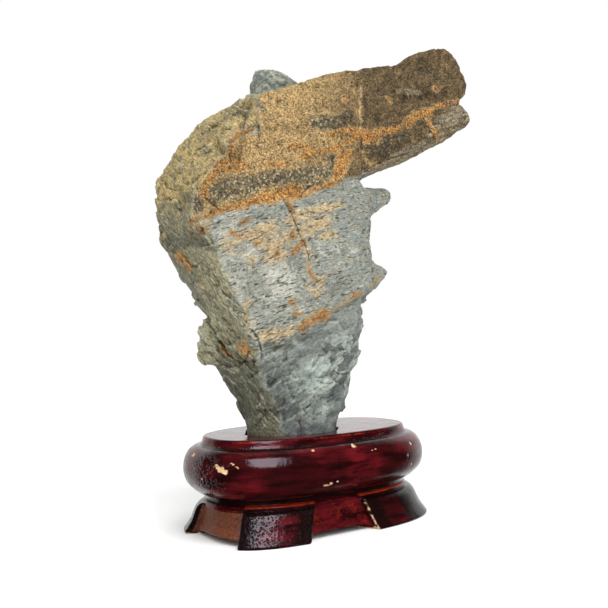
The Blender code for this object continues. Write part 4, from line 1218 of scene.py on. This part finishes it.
def make_rock(material):
    """The rock's surface: its solid's skin remeshed finely and softened, then moved along the normals.

    The rock overhangs and has spurs, so it is no grid of two parameters: every vertex is moved by a formula
    of its place, in whole arrays. The hollow attribute is how far a vertex lies below its
    softened surroundings.
    """
    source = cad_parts["rock"]
    rock = bpy.data.objects.new("rock_stone", source.data.copy())
    bpy.context.scene.collection.objects.link(rock)
    add_web(rock.data)
    weld = rock.modifiers.new("weld", "WELD")
    weld.merge_threshold = 0.00002
    skin = rock.modifiers.new("skin", "REMESH")
    skin.mode = "VOXEL"
    skin.voxel_size = ROCK_VOXEL * MM
    view = bpy.context.evaluated_depsgraph_get()
    mesh = bpy.data.meshes.new_from_object(rock.evaluated_get(view), depsgraph=view)
    rock.modifiers.clear()
    rock.data = mesh
    edges = mesh_edges(mesh)
    points = mesh_points(mesh)
    upper = fade(points[:, 2], FOOT_LINE - 4.0, FOOT_LINE)[:, None]
    points = points * (1.0 - upper) + soften(points, edges, SOFTEN_ROUNDS, 0.5) * upper
    write_points(mesh, points)
    normals = mesh_normals(mesh)
    broad_normals = soften(normals, edges, NORMAL_ROUNDS, 0.6)
    broad_normals /= np.linalg.norm(broad_normals, axis=1, keepdims=True).clip(1e-6)
    facing_back = fade(broad_normals @ np.array(BACK), -0.05, 0.35)
    places = rock_axes(points)
    relief = rock_relief(places, region_shares(places, facing_back), mark_shares(places, facing_back))
    points = points + normals * relief[:, None]
    write_points(mesh, points)
    hollow = ((soften(points, edges, HOLLOW_ROUNDS, 0.6) - points) * mesh_normals(mesh)).sum(axis=1)
    places = rock_axes(points)
    shares = region_shares(places, facing_back)
    shares.update(mark_shares(places, facing_back))
    shares["hollow"] = hollow
    shares["under"] = fade(-broad_normals[:, 2], 0.2, 0.5) * fade(places[:, 0], 30.0, 38.0)
    for name, value in shares.items():
        write_attribute(mesh, name, value)
    mesh.materials.clear()
    mesh.materials.append(material)
    mesh.shade_smooth()
    return rock


def studio_point(right, back, height):
    """A place in the studio, in metres to the camera's right, away from it and up from the stand's middle."""
    return RIGHT * right + BACK * back + UP * height + Vector((MIDDLE[0] * MM, MIDDLE[1] * MM, 0.0))


def add_lamp(name, kind, place, on_stone, on_gloss):
    """A lamp at a place in the studio that points at the rock's middle."""
    lamp = bpy.data.lights.new(name, kind)
    holder = bpy.data.objects.new(name, lamp)
    holder.location = studio_point(*place)
    toward = studio_point(0.0, 0.0, AIM_HEIGHT_M) - holder.location
    holder.rotation_euler = toward.to_track_quat("-Z", "Y").to_euler()
    holder.visible_diffuse = on_stone
    holder.visible_glossy = on_gloss
    bpy.context.scene.collection.objects.link(holder)
    return lamp


def make_studio():
    """A near-white floor, softboxes above, to the right and for the gloss, a soft ceiling, and the backdrop.

    The world is white to the camera, dim as a light, and in gloss it is a glow behind the stand that fades by
    smooth steps towards the camera and straight up.
    """
    reach, drop = FLOOR_REACH_M, -FLOOR_DROP_M
    corners = [(-reach, -reach, drop), (reach, -reach, drop), (reach, reach, drop), (-reach, reach, drop)]
    floor_mesh = bpy.data.meshes.new("floor")
    floor_mesh.from_pydata(corners, [], [(0, 1, 2, 3)])
    floor = bpy.data.objects.new("floor", floor_mesh)
    bpy.context.scene.collection.objects.link(floor)
    floor.visible_glossy = False
    paper = bpy.data.materials.new("paper")
    finish = Finish(paper)
    shader = finish.node("ShaderNodeBsdfDiffuse", None, {"Color": PAPER})
    finish.node("ShaderNodeOutputMaterial", None, {"Surface": shader})
    floor_mesh.materials.append(paper)

    for name, (place, wide, tall, watts, tint, on_stone, on_gloss) in SOFTBOXES.items():
        lamp = add_lamp(name, "AREA", place, on_stone, on_gloss)
        lamp.shape = "RECTANGLE"
        lamp.size = wide
        lamp.size_y = tall
        lamp.energy = watts
        lamp.color = tint
    ceiling = add_lamp("ceiling", "SUN", CEILING_PLACE_M, True, False)
    ceiling.angle = CEILING_SPREAD
    ceiling.energy = CEILING_STRENGTH

    world = bpy.data.worlds.new("studio")
    bpy.context.scene.world = world
    finish = Finish(world)
    direction = finish.node("ShaderNodeTexCoord", None, None, "Generated")
    behind = {0: direction, 1: tuple(BACK)}
    rearward = finish.node("ShaderNodeVectorMath", {"operation": "DOT_PRODUCT"}, behind, "Value")
    height = finish.node("ShaderNodeSeparateXYZ", None, {"Vector": direction}, "Z")
    glow = finish.step(rearward, 0.2, 0.7) * finish.step(height, 0.93, 0.45)
    reflected, lighting, seen = [
        finish.node("ShaderNodeBackground", None, {"Color": WHITE, "Strength": strength})
        for strength in (glow * BACKDROP_SHINE + DARK_SHINE, ROOM_STRENGTH, 1.0)
    ]
    glossy = finish.node("ShaderNodeLightPath", None, None, "Is Glossy Ray")
    camera = finish.node("ShaderNodeLightPath", None, None, "Is Camera Ray")
    mixed = finish.node("ShaderNodeMixShader", None, {0: glossy, 1: lighting, 2: reflected})
    mixed = finish.node("ShaderNodeMixShader", None, {0: camera, 1: mixed, 2: seen})
    finish.node("ShaderNodeOutputWorld", None, {"Surface": mixed})


def make_camera():
    lens = bpy.data.cameras.new("camera")
    lens.lens = FOCAL_LENGTH
    lens.sensor_width = SENSOR_WIDTH
    lens.clip_start = 0.01
    holder = bpy.data.objects.new("camera", lens)
    bpy.context.scene.collection.objects.link(holder)
    ahead = BACK * math.cos(CAMERA_RISE) + UP * math.sin(CAMERA_RISE)
    above = UP * math.cos(CAMERA_RISE) - BACK * math.sin(CAMERA_RISE)
    side = RIGHT * math.cos(CAMERA_ROLL) - above * math.sin(CAMERA_ROLL)
    over = RIGHT * math.sin(CAMERA_ROLL) + above * math.cos(CAMERA_ROLL)
    turned = Matrix((side, over, -ahead)).transposed().to_4x4()
    turned.translation = studio_point(CAMERA_SIDE * MM, -CAMERA_DISTANCE * MM, CAMERA_HEIGHT * MM)
    holder.matrix_world = turned
    bpy.context.scene.camera = holder


def main():
    make_camera()
    make_studio()
    bpy.context.scene.view_settings.view_transform = "Standard"
    rock = make_rock(make_stone())
    board = make_board(make_lacquer("top_lacquer", False))
    base = make_base(make_lacquer("foot_lacquer", True))
    for piece, node, slot in (
        (rock, "rock", "layered_stone"),
        (board, "stand_top", "oxblood_lacquer"),
        (base, "stand_base", "oxblood_lacquer"),
    ):
        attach(piece, "root")
        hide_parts(node)


main()
